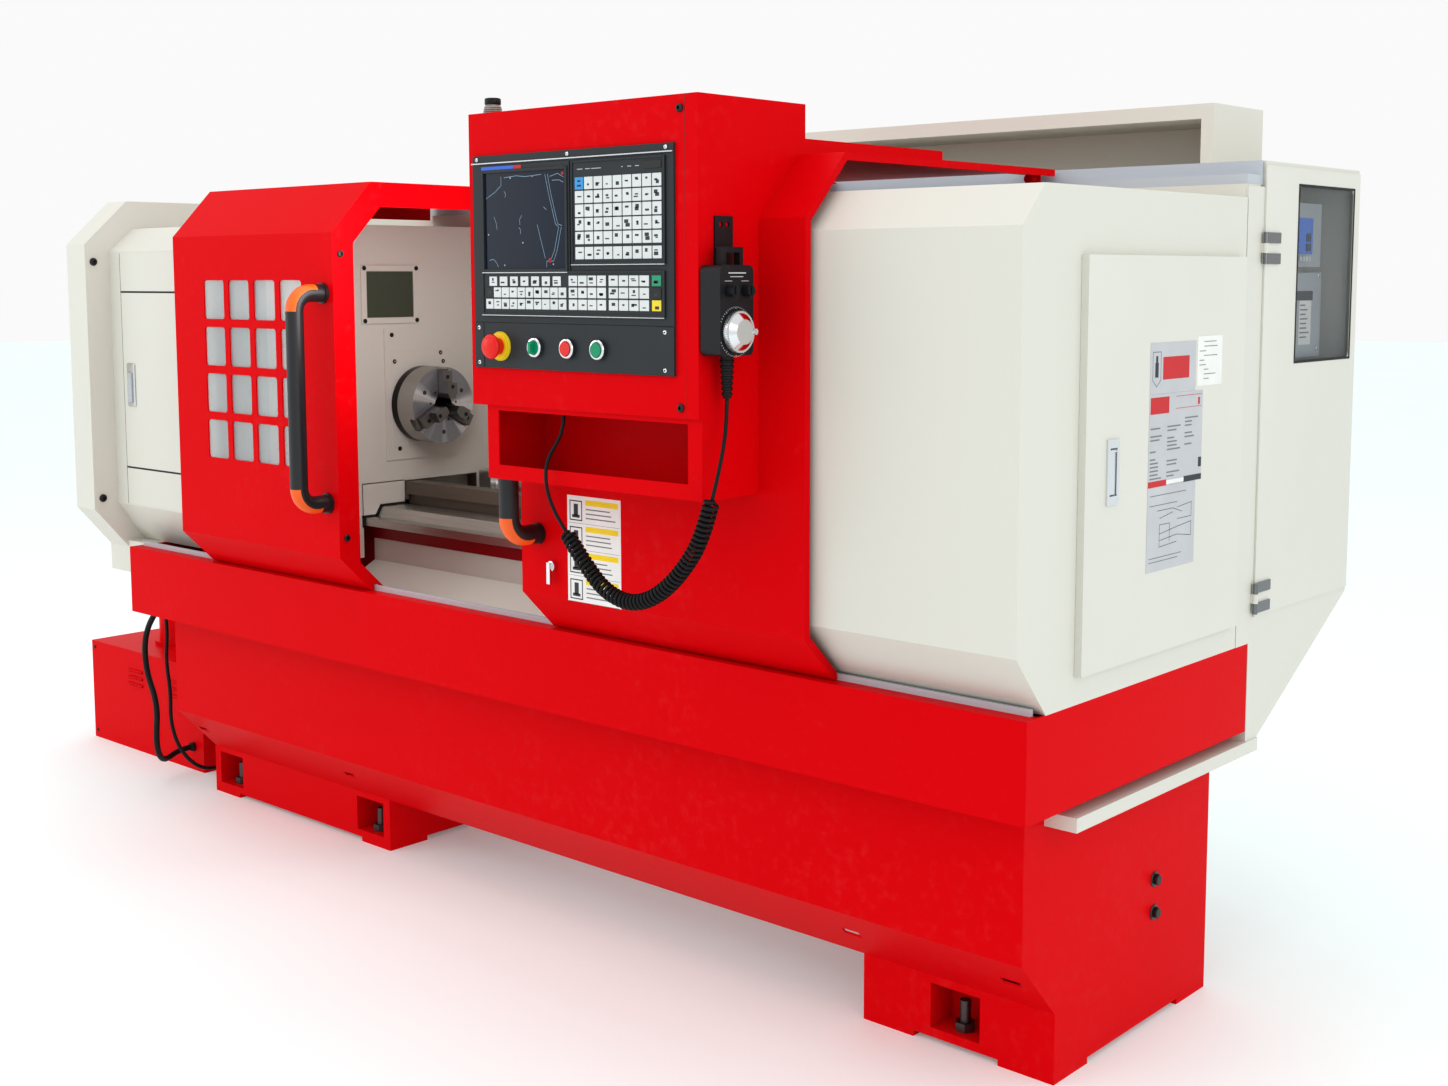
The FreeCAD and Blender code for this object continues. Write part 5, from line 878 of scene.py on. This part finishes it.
header = [panel_block(x, x + wide, 1.3835, 1.3846, 0.0002) for x, wide in (
    (0.820, 0.012), (0.838, 0.010), (0.851, 0.021), (0.915, 0.003), (0.928, 0.008), (0.944, 0.008))]
on_panel("key_header", header, label_silver)
on_panel("key_display", [panel_block(0.9605, 0.9975, 1.3790, 1.3910, 0.0010)], socket_black, 0.0004)
print(sum(len(blocks) for blocks in keys.values()), "keys,", len(marks), "marks")

# %% Screen picture: a plain turning diagram
GLASS = PANEL_FACE - 0.0002
SPECK = 0.0022


def glass_block(left, right, low, high):
    return ((left, GLASS, low), (right, GLASS + 0.0001, high))


strokes = [
    [(0.752, 1.380), (0.759, 1.350), (0.774, 1.303), (0.784, 1.300)],
    [(0.746, 1.380), (0.754, 1.350), (0.769, 1.303), (0.776, 1.298), (0.766, 1.262), (0.757, 1.246)],
    [(0.782, 1.298), (0.772, 1.262), (0.764, 1.246), (0.748, 1.246), (0.748, 1.236)],
    [(0.727, 1.303), (0.745, 1.250)],
    [(0.606, 1.346), (0.628, 1.356), (0.643, 1.366), (0.643, 1.380)],
    [(0.650, 1.378), (0.680, 1.380), (0.700, 1.378), (0.738, 1.380)],
    [(0.691, 1.318), (0.686, 1.311), (0.687, 1.303)],
    [(0.684, 1.299), (0.688, 1.296), (0.688, 1.289)],
    [(0.625, 1.317), (0.630, 1.307), (0.632, 1.297)],
    [(0.650, 1.357), (0.654, 1.352), (0.652, 1.347)],
    [(0.742, 1.330), (0.749, 1.325)],
    [(0.612, 1.248), (0.622, 1.250), (0.630, 1.244), (0.634, 1.237)],
    [(0.757, 1.376), (0.775, 1.380), (0.788, 1.374)],
    [(0.762, 1.370), (0.778, 1.370), (0.788, 1.366)],
]
for number, points in enumerate(strokes):
    ribbon = bmesh.new()
    add_stroke(ribbon, [(x, GLASS, z) for x, z in points], 0.0009, (0, -1, 0))
    finish_piece(f"screen_stroke_{number}", ribbon, screen_line, "right_door")
specks = [glass_block(x, x + SPECK, z, z + SPECK) for x, z in (
    (0.692, 1.274), (0.610, 1.288), (0.648, 1.239), (0.762, 1.240), (0.664, 1.376), (0.716, 1.377))]
on_panel("screen_specks", specks, label_silver)
on_panel("screen_bar_blue", [panel_block(0.5975, 0.6740, 1.3885, 1.3965, 0.0004)], screen_blue)
red_bars = [panel_block(0.6745, 0.6930, 1.3885, 1.3965, 0.0004), glass_block(0.7530, 0.7590, 1.2440, 1.2500),
            glass_block(0.7830, 0.7880, 1.3780, 1.3820)]
on_panel("screen_bar_red", red_bars, print_red)
print("screen drawn with", len(strokes), "strokes")

# %% [markdown]
# The push buttons sit in black barrels with a polished ring in front. The emergency stop is a mushroom on a
# yellow disc; its head is turned anew here because its soft crown is what makes it inviting to hit.

# %% Rings, mushroom head and lamp
BUTTON_Z = 1.111
stop_spot = (0.637, PANEL_FACE, BUTTON_Z)
ring_profile = [(11.3, 0), (11.3, 3.0), (12.4, 3.8), (14.6, 3.4), (15.6, 2.0), (15.6, 0)]
ring_spots = [(x, PANEL_FACE - 0.0045, BUTTON_Z) for x in (0.722, 0.796, 0.864)]
turned_piece("button_rings", ring_profile, ring_spots, "front", chrome, "right_door", 40)
disc_profile = [(12, 5.2), (20.5, 5.4), (22.8, 4.6), (23.6, 3.0), (23.6, 0)]
turned_piece("stop_yellow_ring", disc_profile, [stop_spot], "front", warning_yellow, "right_door",
             48)
stop_profile = [(0, 30.5), (6, 30.3), (11, 29.6), (15, 28.2), (18, 25.8), (19.8, 22.6), (19.9, 20.2),
                (18.8, 18.4), (15.5, 17.2), (14.0, 15.0), (13.6, 11.0), (13.6, 6.0), (12.4, 5.6),
                (12.0, 2.0)]
stop_head = turned_piece("stop_head", stop_profile, [stop_spot], "front", stop_red, "emergency_stop",
                         48)
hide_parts("emergency_stop")
lamp_low, lamp_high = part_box("signal_lamp")
lamp_spot = ((lamp_low.x + lamp_high.x) / 2, (lamp_low.y + lamp_high.y) / 2, lamp_low.z)
lens_profile = [(16.6, 0), (16.8, 2), (14.6, 3.2), (15.6, 4.6), (14.4, 6.0), (15.2, 7.6), (14.0, 9.0),
                (14.6, 10.6), (13.4, 12.4), (12.6, 14.0), (11.8, 15.4)]
cap_profile = [(12.4, 15.0), (13.2, 16.2), (13.2, 23.4), (12.2, 25.2), (9.0, 25.9), (0, 25.9)]
lamp_lens = turned_piece("lamp_lens", lens_profile, [lamp_spot], "up", smoked, "right_door",
                         40)
turned_piece("lamp_cap", cap_profile, [lamp_spot], "up", black_plastic, "right_door", 40)
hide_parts("signal_lamp")
screw_spots = [(x, PANEL_FACE - 0.0001, z) for x, z in (
    (0.585, 1.4085), (0.797, 1.4085), (1.005, 1.4085), (0.585, 1.1400), (0.585, 1.0840), (1.002, 1.1400),
    (1.002, 1.0840))]
turned_piece("panel_screws", button_head(3.4), screw_spots, "front", chrome, "right_door", 20)
print("buttons, stop and lamp fitted")

# %% [markdown]
# ## The pendant
#
# The handwheel is a polished dish with a knurled rim, and its scale is a ring of fine ticks round it,
# plain and unnumbered. Below the case the lead leaves through a ribbed boot: a turned profile that dips
# in and out.

# %% Wheel scale, knurl and boot
TICKS, RIDGES, RIBS = 50, 60, 7
WHEEL_Y, WHEEL_Z = -0.588, 1.142
TICK_OUTSIDE = 0.0365
SCALE_FRONT, SCALE_BACK = -0.6215, -0.5500
RIDGE_X, RIDGE_REACH = 0.018, 0.0298
RIDGE_SIZE = (0.007, 0.0016, 0.0012, 1)
wheel_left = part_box("mpg_wheel")[0].x
pendant_low, pendant_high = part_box("mpg_body")
ticks = bmesh.new()
for tick in range(TICKS):
    inside = 0.0345 if tick % 5 else 0.0330
    turn = Matrix.Rotation(math.tau * tick / TICKS, 4, "X")
    stand = Matrix.Translation((pendant_high.x + 0.0003, WHEEL_Y, WHEEL_Z)) @ turn
    outline = ((-1, inside), (1, inside), (1, TICK_OUTSIDE), (-1, TICK_OUTSIDE))
    ticks.faces.new([ticks.verts.new(stand @ Vector((0, 0.0006 * side, reach))) for side, reach in outline])
for corner in list(ticks.verts):
    if not SCALE_FRONT < corner.co.y < SCALE_BACK:
        ticks.verts.remove(corner)
finish_piece("wheel_scale", ticks, label_silver, "right_door")
knurl = bmesh.new()
for ridge in range(RIDGES):
    turn = Matrix.Rotation(math.tau * ridge / RIDGES, 4, "X")
    stand = Matrix.Translation((wheel_left, WHEEL_Y, WHEEL_Z)) @ turn
    stand = stand @ Matrix.Translation((RIDGE_X, 0, RIDGE_REACH)) @ Matrix.Diagonal(RIDGE_SIZE)
    bmesh.ops.create_cube(knurl, size=1.0, matrix=stand)
finish_piece("wheel_knurl", knurl, trim_metal, "mpg_wheel")
boot = [(6.5, 0)]
for rib in range(RIBS):
    low, wide = 3 + rib * 8.0, 7.2 + rib * 0.45
    boot += [(wide - 1.0, low), (wide + 0.9, low + 1.6), (wide + 0.9, low + 4.4), (wide - 0.8, low + 6.0)]
boot_spot = ((pendant_low.x + 0.003 + pendant_high.x) / 2, -0.586, 1.045)
turned_piece("pendant_boot", boot, [boot_spot], "up", cable_rubber, "right_door", 28)
lines = [((pendant_high.x, y0, z0), (pendant_high.x + 0.0004, y1, z1)) for y0, y1, z0, z1 in (
    (-0.604, -0.566, 1.2255, 1.2275), (-0.600, -0.572, 1.2205, 1.2218), (-0.612, -0.596, 1.2145, 1.2155),
    (-0.576, -0.560, 1.2145, 1.2155))]
block_piece("pendant_marks", lines, label_silver, "right_door")
print("pendant dressed; boot", len(boot), "profile points")

# %% [markdown]
# ## Sheet work inside and round the ends
#
# The left cover's front is three separate sheets with dark gaps between them and a flush latch. Inside,
# the wall behind the chuck carries a work lamp in a screwed frame and a bolted plate. A frame is four
# bars round a hole.

# %% Cover sheets, latch, lamp frame and nose plate
SHEET_LEFT, SHEET_RIGHT = -0.934, -0.592
SHEET_HEIGHTS = [(0.7005, 0.7840), (0.7880, 1.1880), (1.1920, 1.2780)]


def frame_bars(x0, x1, low, high, wide):
    """Four bars round a hole in a wall that faces +X; low and high are (y, z) of the outside corners."""
    (y0, z0), (y1, z1) = low, high
    return [((x0, y0, z0), (x1, y0 + wide, z1)), ((x0, y1 - wide, z0), (x1, y1, z1)),
            ((x0, y0 + wide, z0), (x1, y1 - wide, z0 + wide)),
            ((x0, y0 + wide, z1 - wide), (x1, y1 - wide, z1))]


def cover_block(left, right, low, high, proud, gap=0.0):
    """A box on the left cover's front, between two distances from it."""
    return ((left, cover_low.y - proud, low), (right, cover_low.y - gap, high))


sheets = [cover_block(SHEET_LEFT, SHEET_RIGHT, low, high, 0.0012) for low, high in SHEET_HEIGHTS]
block_piece("cover_sheets", sheets, cream_coat, "frame", 0.0006)
seams = [cover_block(SHEET_LEFT - 0.0025, SHEET_LEFT, SHEET_HEIGHTS[0][0], SHEET_HEIGHTS[-1][1], 0.0003)]
for (_, below), (above, _) in zip(SHEET_HEIGHTS, SHEET_HEIGHTS[1:]):
    seams.append(cover_block(SHEET_LEFT, SHEET_RIGHT, below, above, 0.0003))
block_piece("cover_seams", seams, gasket_rubber, "frame")
block_piece("cover_latch_frame", [cover_block(-0.915, -0.882, 0.928, 1.027, 0.0052, 0.001)], chrome, "frame",
            0.0022)
block_piece("cover_latch_paddle", [cover_block(-0.907, -0.890, 0.936, 1.008, 0.0085, 0.005)], trim_metal,
            "frame", 0.0030)
inner_wall = cover_high.x - 0.003
lamp_bars = frame_bars(inner_wall, inner_wall + 0.005, (-0.172, 1.120), (-0.016, 1.249), 0.014)
block_piece("lamp_frame", lamp_bars, cream_coat, "frame", 0.0012)
block_piece("lamp_window", [((inner_wall, -0.158, 1.134), (inner_wall + 0.0015, -0.030, 1.235))], lamp_glass,
            "frame", 0.0002)
lamp_screws = [(inner_wall + 0.005, y, z) for y in (-0.165, -0.023) for z in (1.127, 1.242)]
black_screws("lamp_screws", 5, lamp_screws, "right", "frame")
nose_bars = frame_bars(cover_high.x, cover_high.x + 0.0012, (-0.098, 0.845), (0.070, 1.059), 0.045)
block_piece("nose_plate", nose_bars, cream_coat, "frame", 0.0005)
print("sheets", len(sheets), "lamp screws", len(lamp_screws))

# %% [markdown]
# Where the bed passes under the chuck's wall, a cut plate closes the wall in front of the casting. We
# extrude its outline along the bed, and a black seal follows the same edge.

# %% Closing plate and seal
PLATE_LEFT, PLATE_RIGHT, SEAL_RIGHT = -0.354, -0.350, -0.3475
HALF_SEAL = 0.0015


def add_sheet(shape, outline, x0, x1):
    """Extrude a (y, z) outline in metres along X."""
    near = [shape.verts.new((x0, y, z)) for y, z in outline]
    far = [shape.verts.new((x1, y, z)) for y, z in outline]
    shape.faces.new(near)
    shape.faces.new(list(reversed(far)))
    for i in range(len(outline)):
        k = (i + 1) % len(outline)
        shape.faces.new([near[i], far[i], far[k], near[k]])


bed_edge = [(-0.180, 0.698), (-0.144, 0.698), (-0.131, 0.719), (-0.064, 0.719)]
front_plate = [(-0.180, 0.770)] + bed_edge + [(-0.064, 0.770)]
plate = bmesh.new()
add_sheet(plate, front_plate, PLATE_LEFT, PLATE_RIGHT)
finish_piece("closing_plate", plate, cream_coat, "frame")
seal = bmesh.new()
seal_path = [Vector((0, y, z)) for y, z in [(-0.180, 0.675)] + bed_edge]
for start, end in zip(seal_path, seal_path[1:]):
    way = (end - start).normalized() * HALF_SEAL
    side = Vector((0, -way.z, way.y))
    corners = (start - way - side, end + way - side, end + way + side, start - way + side)
    add_sheet(seal, [(spot.y, spot.z) for spot in corners], PLATE_RIGHT, SEAL_RIGHT)
finish_piece("closing_seal", seal, gasket_rubber, "frame")
print("closing plate with", len(front_plate), "corners")

# %% [markdown]
# ## Chuck
#
# The chuck body is held by socket screws between its jaws, and every jaw has two of its own. The jaw
# screws ride the jaws, so they travel with them when the chuck closes.

# %% Chuck and jaw screws
SOCKET_CAP = [(1.0, 0), (1.0, 0.10), (0.92, 0.16), (0.55, 0.16), (0.50, 0.02), (0, 0.01)]
JAW_ANGLES = (0, 120, 240)
step_x, jaw_front = chuck_front + 0.017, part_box("chuck_jaw_1")[1].x


def round_chuck(x, radius, degrees):
    """A place on a chuck face, at an angle from straight up."""
    angle = math.radians(degrees)
    return (x, CHUCK_Y - radius * math.sin(angle), CHUCK_Z + radius * math.cos(angle))


def socket_screw(radius):
    return [(share * radius, height * radius) for share, height in SOCKET_CAP]


between = [round_chuck(chuck_front, 0.060, degrees + 60) for degrees in JAW_ANGLES]
turned_piece("chuck_screws", socket_screw(5.0), between, "right", dark_steel, "spindle")
near_bore = [round_chuck(chuck_front, 0.036, degrees + side) for degrees in JAW_ANGLES for side in (38, 82)]
turned_piece("chuck_dowels", socket_screw(2.6), near_bore, "right", dark_steel, "spindle")
for number, degrees in enumerate(JAW_ANGLES, start=1):
    spots = [round_chuck(step_x, 0.063, degrees), round_chuck(jaw_front, 0.042, degrees)]
    turned_piece(f"jaw_{number}_screws", socket_screw(4.6), spots, "right", socket_black,
                 f"chuck_jaw_{number}")
print("chuck face at x =", round(chuck_front, 3), "and jaw faces at", round(jaw_front, 3))

# %% [markdown]
# ## Tank and cables
#
# The tank's front has three louvres over each row of slots, and every line that enters sheet metal does so
# through a gland: a hexagon nut with a rounded collar. The hole in the middle is as wide as the line.

# %% Louvres and glands
louvres = [((x - 0.035, tank_low.y - 0.0040, z + 0.0020), (x + 0.035, tank_low.y, z + 0.0075))
           for x in (-1.3043, -1.1143) for z in (0.170, 0.188, 0.206)]
block_piece("tank_louvres", louvres, red_coat, "frame", 0.0018)


def gland_piece(name, line_radius, place, facing):
    bore = line_radius / MM
    profile = [(bore, 0), (bore + 5, 0), (bore + 5, 6.5), (bore + 3.4, 7.6), (bore + 3.4, 10),
               (bore + 1.8, 12.4), (bore + 0.1, 13)]
    turned_piece(name, profile, [place], facing, black_plastic, "frame", 6)


gland_piece("hose_gland_top", HOSE_RADIUS, HOSE[0], "down")
gland_piece("cable_gland_top", CABLE_RADIUS, CABLE[0], "down")
gland_piece("hose_gland_tank", HOSE_RADIUS, (-1.035, tank_low.y, 0.060), "front")
gland_piece("cable_gland_tank", CABLE_RADIUS, (tank_high.x, -0.160, 0.062), "right")
print(len(louvres), "louvres, 4 glands")

# %% [markdown]
# ## Labels without words
#
# Cards and placards are kept as coloured fields and bars, so that nothing on the machine can be read.
# Each one is a thin sheet that rides the door it is stuck to. The bars stand for lines of writing; a
# seeded generator sets how long they are.

# %% Safety card on the sliding door
label_rng = random.Random(11)
CARD_Y = DOOR_FACE - 0.0004
PRINT = 0.0002
FRAME = 0.0018


def card_block(x0, x1, z0, z1):
    return ((x0, CARD_Y - PRINT, z0), (x1, CARD_Y, z1))


def on_card(name, blocks, paint):
    block_piece(name, blocks, paint, "right_door")


on_card("card_paper", [((0.641, CARD_Y, 0.678), (0.768, DOOR_FACE, 0.858))], paper_white)
bands, symbols, rules = [], [], []
for row in range(4):
    top = 0.852 - 0.0445 * row
    bands.append(card_block(0.685, 0.762, top - 0.009, top))
    x0, x1, z0, z1 = 0.647, 0.677, top - 0.036, top - 0.002
    symbols += [card_block(x0, x1, z0, z0 + FRAME), card_block(x0, x1, z1 - FRAME, z1),
                card_block(x0, x0 + FRAME, z0, z1), card_block(x1 - FRAME, x1, z0, z1),
                card_block(x0 + 0.010, x1 - 0.010, z0 + 0.008, z1 - 0.006),
                card_block(x0 + 0.006, x1 - 0.006, z0 + 0.005, z0 + 0.010)]
    for line in range(3):
        length = label_rng.uniform(0.045, 0.072)
        height = top - 0.0165 - 0.0075 * line
        rules.append(card_block(0.686, 0.686 + length, height, height + 0.0020))
    rules.append(card_block(0.644, 0.765, top - 0.0405, top - 0.0400))
on_card("card_bands", bands, warning_yellow)
on_card("card_lines", rules, print_grey)
on_card("card_symbols", symbols, key_ink)
print("card with", len(rules), "lines")

# %% Placards on the tail door
TAIL_SKIN = 1.5213
PLACARD_X = TAIL_SKIN + 0.0006
PLACARD_LEFT = -0.131
COLUMNS = [(-0.127, 0.036, 0.998, 15), (-0.074, 0.046, 0.993, 14), (-0.018, 0.044, 1.003, 8)]


def placard_block(y0, y1, z0, z1, ground=PLACARD_X):
    return ((ground, y0, z0), (ground + PRINT, y1, z1))


def on_tail_door(name, blocks, paint):
    block_piece(name, blocks, paint, "tail_door")


placards = [((TAIL_SKIN, PLACARD_LEFT, z0), (PLACARD_X, y1, z1)) for y1, z0, z1 in (
    (0.014, 1.045, 1.122), (0.040, 0.905, 1.0445), (0.022, 0.776, 0.9045))]
on_tail_door("placard_sheets", placards, label_silver)
reds = [placard_block(*outline) for outline in (
    (-0.092, -0.008, 1.066, 1.100), (-0.128, -0.070, 1.015, 1.040), (-0.131, -0.074, 0.905, 0.914),
    (-0.048, 0.036, 1.0385, 1.0392), (-0.048, 0.036, 1.0200, 1.0207), (0.024, 0.030, 1.023, 1.034))]
on_tail_door("placard_red", reds, print_red)
on_tail_door("placard_white", [placard_block(-0.074, -0.018, 0.9065, 0.9125)], paper_white)
darks = [placard_block(*outline) for outline in (
    (-0.018, 0.040, 0.905, 0.914), (0.029, 0.039, 0.925, 0.940), (-0.1165, -0.1065, 1.070, 1.092),
    (-0.1145, -0.1085, 1.092, 1.102))]
on_tail_door("placard_dark", darks, key_ink)
lines = []
for start, widest, top, count in COLUMNS:
    for line in range(count):
        if label_rng.random() < 0.24:
            continue
        height = top - 0.0058 * line
        end = start + widest * label_rng.uniform(0.45, 1.0)
        lines.append(placard_block(start, end, height, height + 0.0022))
for height in (0.891, 0.876, 0.796, 0.790):
    end = -0.124 + 0.134 * label_rng.uniform(0.6, 1.0)
    lines.append(placard_block(-0.124, end, height, height + 0.0012))
diagram = [
    [(-0.100, 0.868), (-0.050, 0.868), (-0.020, 0.860)],
    [(-0.092, 0.856), (-0.050, 0.862)],
    [(-0.092, 0.846), (-0.060, 0.846), (-0.060, 0.818)],
    [(-0.092, 0.846), (-0.092, 0.812), (-0.036, 0.815)],
    [(-0.092, 0.832), (-0.036, 0.838)],
    [(-0.092, 0.822), (-0.036, 0.826)],
    [(-0.036, 0.868), (0.010, 0.872), (0.010, 0.850), (-0.036, 0.850)],
    [(-0.036, 0.838), (0.010, 0.842), (0.010, 0.820), (-0.036, 0.826)],
    [(-0.124, 1.108), (-0.099, 1.108), (-0.099, 1.066), (-0.1115, 1.056), (-0.124, 1.066), (-0.124, 1.108)],
]
drawing = bmesh.new()
for path in diagram:
    add_stroke(drawing, [(PLACARD_X + PRINT, y, z) for y, z in path], 0.0008, (1, 0, 0))
finish_piece("placard_drawing", drawing, key_ink, "tail_door")
on_tail_door("placard_lines", lines, print_grey)
paper_x = PLACARD_X + PRINT
on_tail_door("paper_note", [((TAIL_SKIN, 0.019, 1.051), (paper_x, 0.102, 1.128))], paper_white)
notes = []
for line in range(9):
    start, height = label_rng.choice((0.025, 0.040)), 1.120 - 0.0072 * line
    end = start + label_rng.uniform(0.015, 0.045)
    notes.append(placard_block(start, end, height - 0.0012, height, paper_x))
on_tail_door("paper_lines", notes, print_grey)
print(len(placards), "placards,", len(lines), "bars")

# %% [markdown]
# ## Behind the cabinet's window
#
# Two drive units stand behind the pane in the cabinet door. The upper one has a bright blue plate with
# two small displays; the lower one a dark header and a white label. A black gasket edges the pane.

# %% Drive fronts and gasket
UPPER_X, LOWER_X = 1.4934, 1.4854
SEAM_X = 1.0386


def front_block(x, y0, y1, z0, z1, lift):
    return ((x, y0, z0), (x + lift, y1, z1))


def on_drive(name, blocks, paint, edge=0.0):
    block_piece(name, blocks, paint, "frame", edge)


on_drive("drive_blue_plate", [front_block(UPPER_X, 0.440, 0.498, 1.258, 1.320, MM)], drive_blue,
         0.001)
displays = [front_block(UPPER_X, 0.471, 0.489, low, high, 2 * MM)
            for low, high in ((1.280, 1.294), (1.263, 1.276))]
on_drive("drive_displays", displays, screen_glass, 0.0005)
buttons = [front_block(UPPER_X, 0.446 + 0.012 * i, 0.454 + 0.012 * i, 1.246, 1.254, 2 * MM) for i in range(4)]
on_drive("drive_buttons", buttons, key_white, 0.0008)
on_drive("drive_header", [front_block(LOWER_X, 0.459, 0.525, 1.178, 1.194, MM)], socket_black,
         0.0005)
on_drive("drive_label", [front_block(LOWER_X, 0.470, 0.520, 1.100, 1.177, 0.0006)], paper_white)
label_lines = []
for line in range(8):
    end, height = 0.474 + label_rng.uniform(0.018, 0.040), 1.168 - 0.008 * line
    label_lines.append(front_block(LOWER_X + 0.0006, 0.474, end, height, height + 0.0025, PRINT))
on_drive("drive_lines", label_lines, print_grey)
drive_screws = [(LOWER_X, y, z) for y in (0.412, 0.548) for z in (1.092, 1.222)]
turned_piece("drive_screws", button_head(4), drive_screws, "right", chrome, "frame", 16)
gasket_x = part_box("cabinet_window")[1].x + 0.0030
gasket = frame_bars(gasket_x, gasket_x + 0.0008, (0.3925, 1.0715), (0.6315, 1.3755), 0.0042)
block_piece("pane_gasket", gasket, gasket_rubber, "cabinet_door", 0.0003)
seam = ((SEAM_X, CONSOLE_FRONT - 0.0002, 1.0145), (SEAM_X + 0.0009, CONSOLE_FRONT, 1.4820))
block_piece("console_seam", [seam], red_shadow, "right_door")
print("cabinet fitted")

# %% [markdown]
# ## The room
#
# A product portrait wants a pale seamless floor and big soft lights. The key light stands high at the
# left of the camera, a fill keeps the end wall readable, and a wide panel overhead draws long highlights
# on the roofs. The floor glows faintly, so that it meets the sky without a line, and a small lamp inside
# shows the chuck.


# %% Floor and lights
FLOOR_HALF = 30
SKY = 0.80


def pale_floor():
    corners = [(x * FLOOR_HALF, y * FLOOR_HALF, 0) for x, y in ((-1, -1), (1, -1), (1, 1), (-1, 1))]
    mesh = bpy.data.meshes.new("floor")
    mesh.from_pydata(corners, [], [(0, 1, 2, 3)])
    floor = bpy.data.objects.new("floor", mesh)
    bpy.context.scene.collection.objects.link(floor)
    paint = Paint("pale_floor")
    cloud = paint.noise(0.6, 2)
    paint.set(Base_Color=paint.mix(cloud, tone(0.84, 0.875, 0.875), tone(0.87, 0.905, 0.905)), Roughness=0.75)
    paint.set(Emission_Color=tone(0.08, 0.13, 0.13), Emission_Strength=1.0)
    wear(floor, paint)


def soft_light(name, place, aim, size, power):
    lamp = bpy.data.lights.new(name, "AREA")
    lamp.shape = "RECTANGLE"
    lamp.size, lamp.size_y = size
    lamp.energy = power
    light = bpy.data.objects.new(name, lamp)
    light.location = place
    light.rotation_euler = (Vector(aim) - Vector(place)).to_track_quat("-Z", "Y").to_euler()
    bpy.context.scene.collection.objects.link(light)


def pale_sky():
    world = bpy.data.worlds.new("studio")
    world.use_nodes = True
    world.node_tree.nodes["Background"].inputs["Color"].default_value = tone(1, 1, 1)
    world.node_tree.nodes["Background"].inputs["Strength"].default_value = SKY
    bpy.context.scene.world = world


pale_floor()
pale_sky()
middle = (0.1, 0.0, 0.8)
soft_light("key", (-1.5, -5.5, 4.2), middle, (4.5, 3.0), 34)
soft_light("fill", (5.5, -1.5, 2.6), middle, (3.5, 3.0), 36)
soft_light("overhead", (0.2, -0.6, 4.8), middle, (5.0, 3.0), 32)
soft_light("left", (-4.2, -3.9, 2.0), (-1.1, -0.4, 0.9), (2.0, 2.0), 20)
soft_light("work", (0.25, -0.42, 1.25), (-0.9, -0.05, 1.0), (0.3, 0.3), 1.6)
bpy.context.scene.view_settings.view_transform = "Standard"
bpy.context.scene.view_settings.look = "Medium High Contrast"
print("lights up")
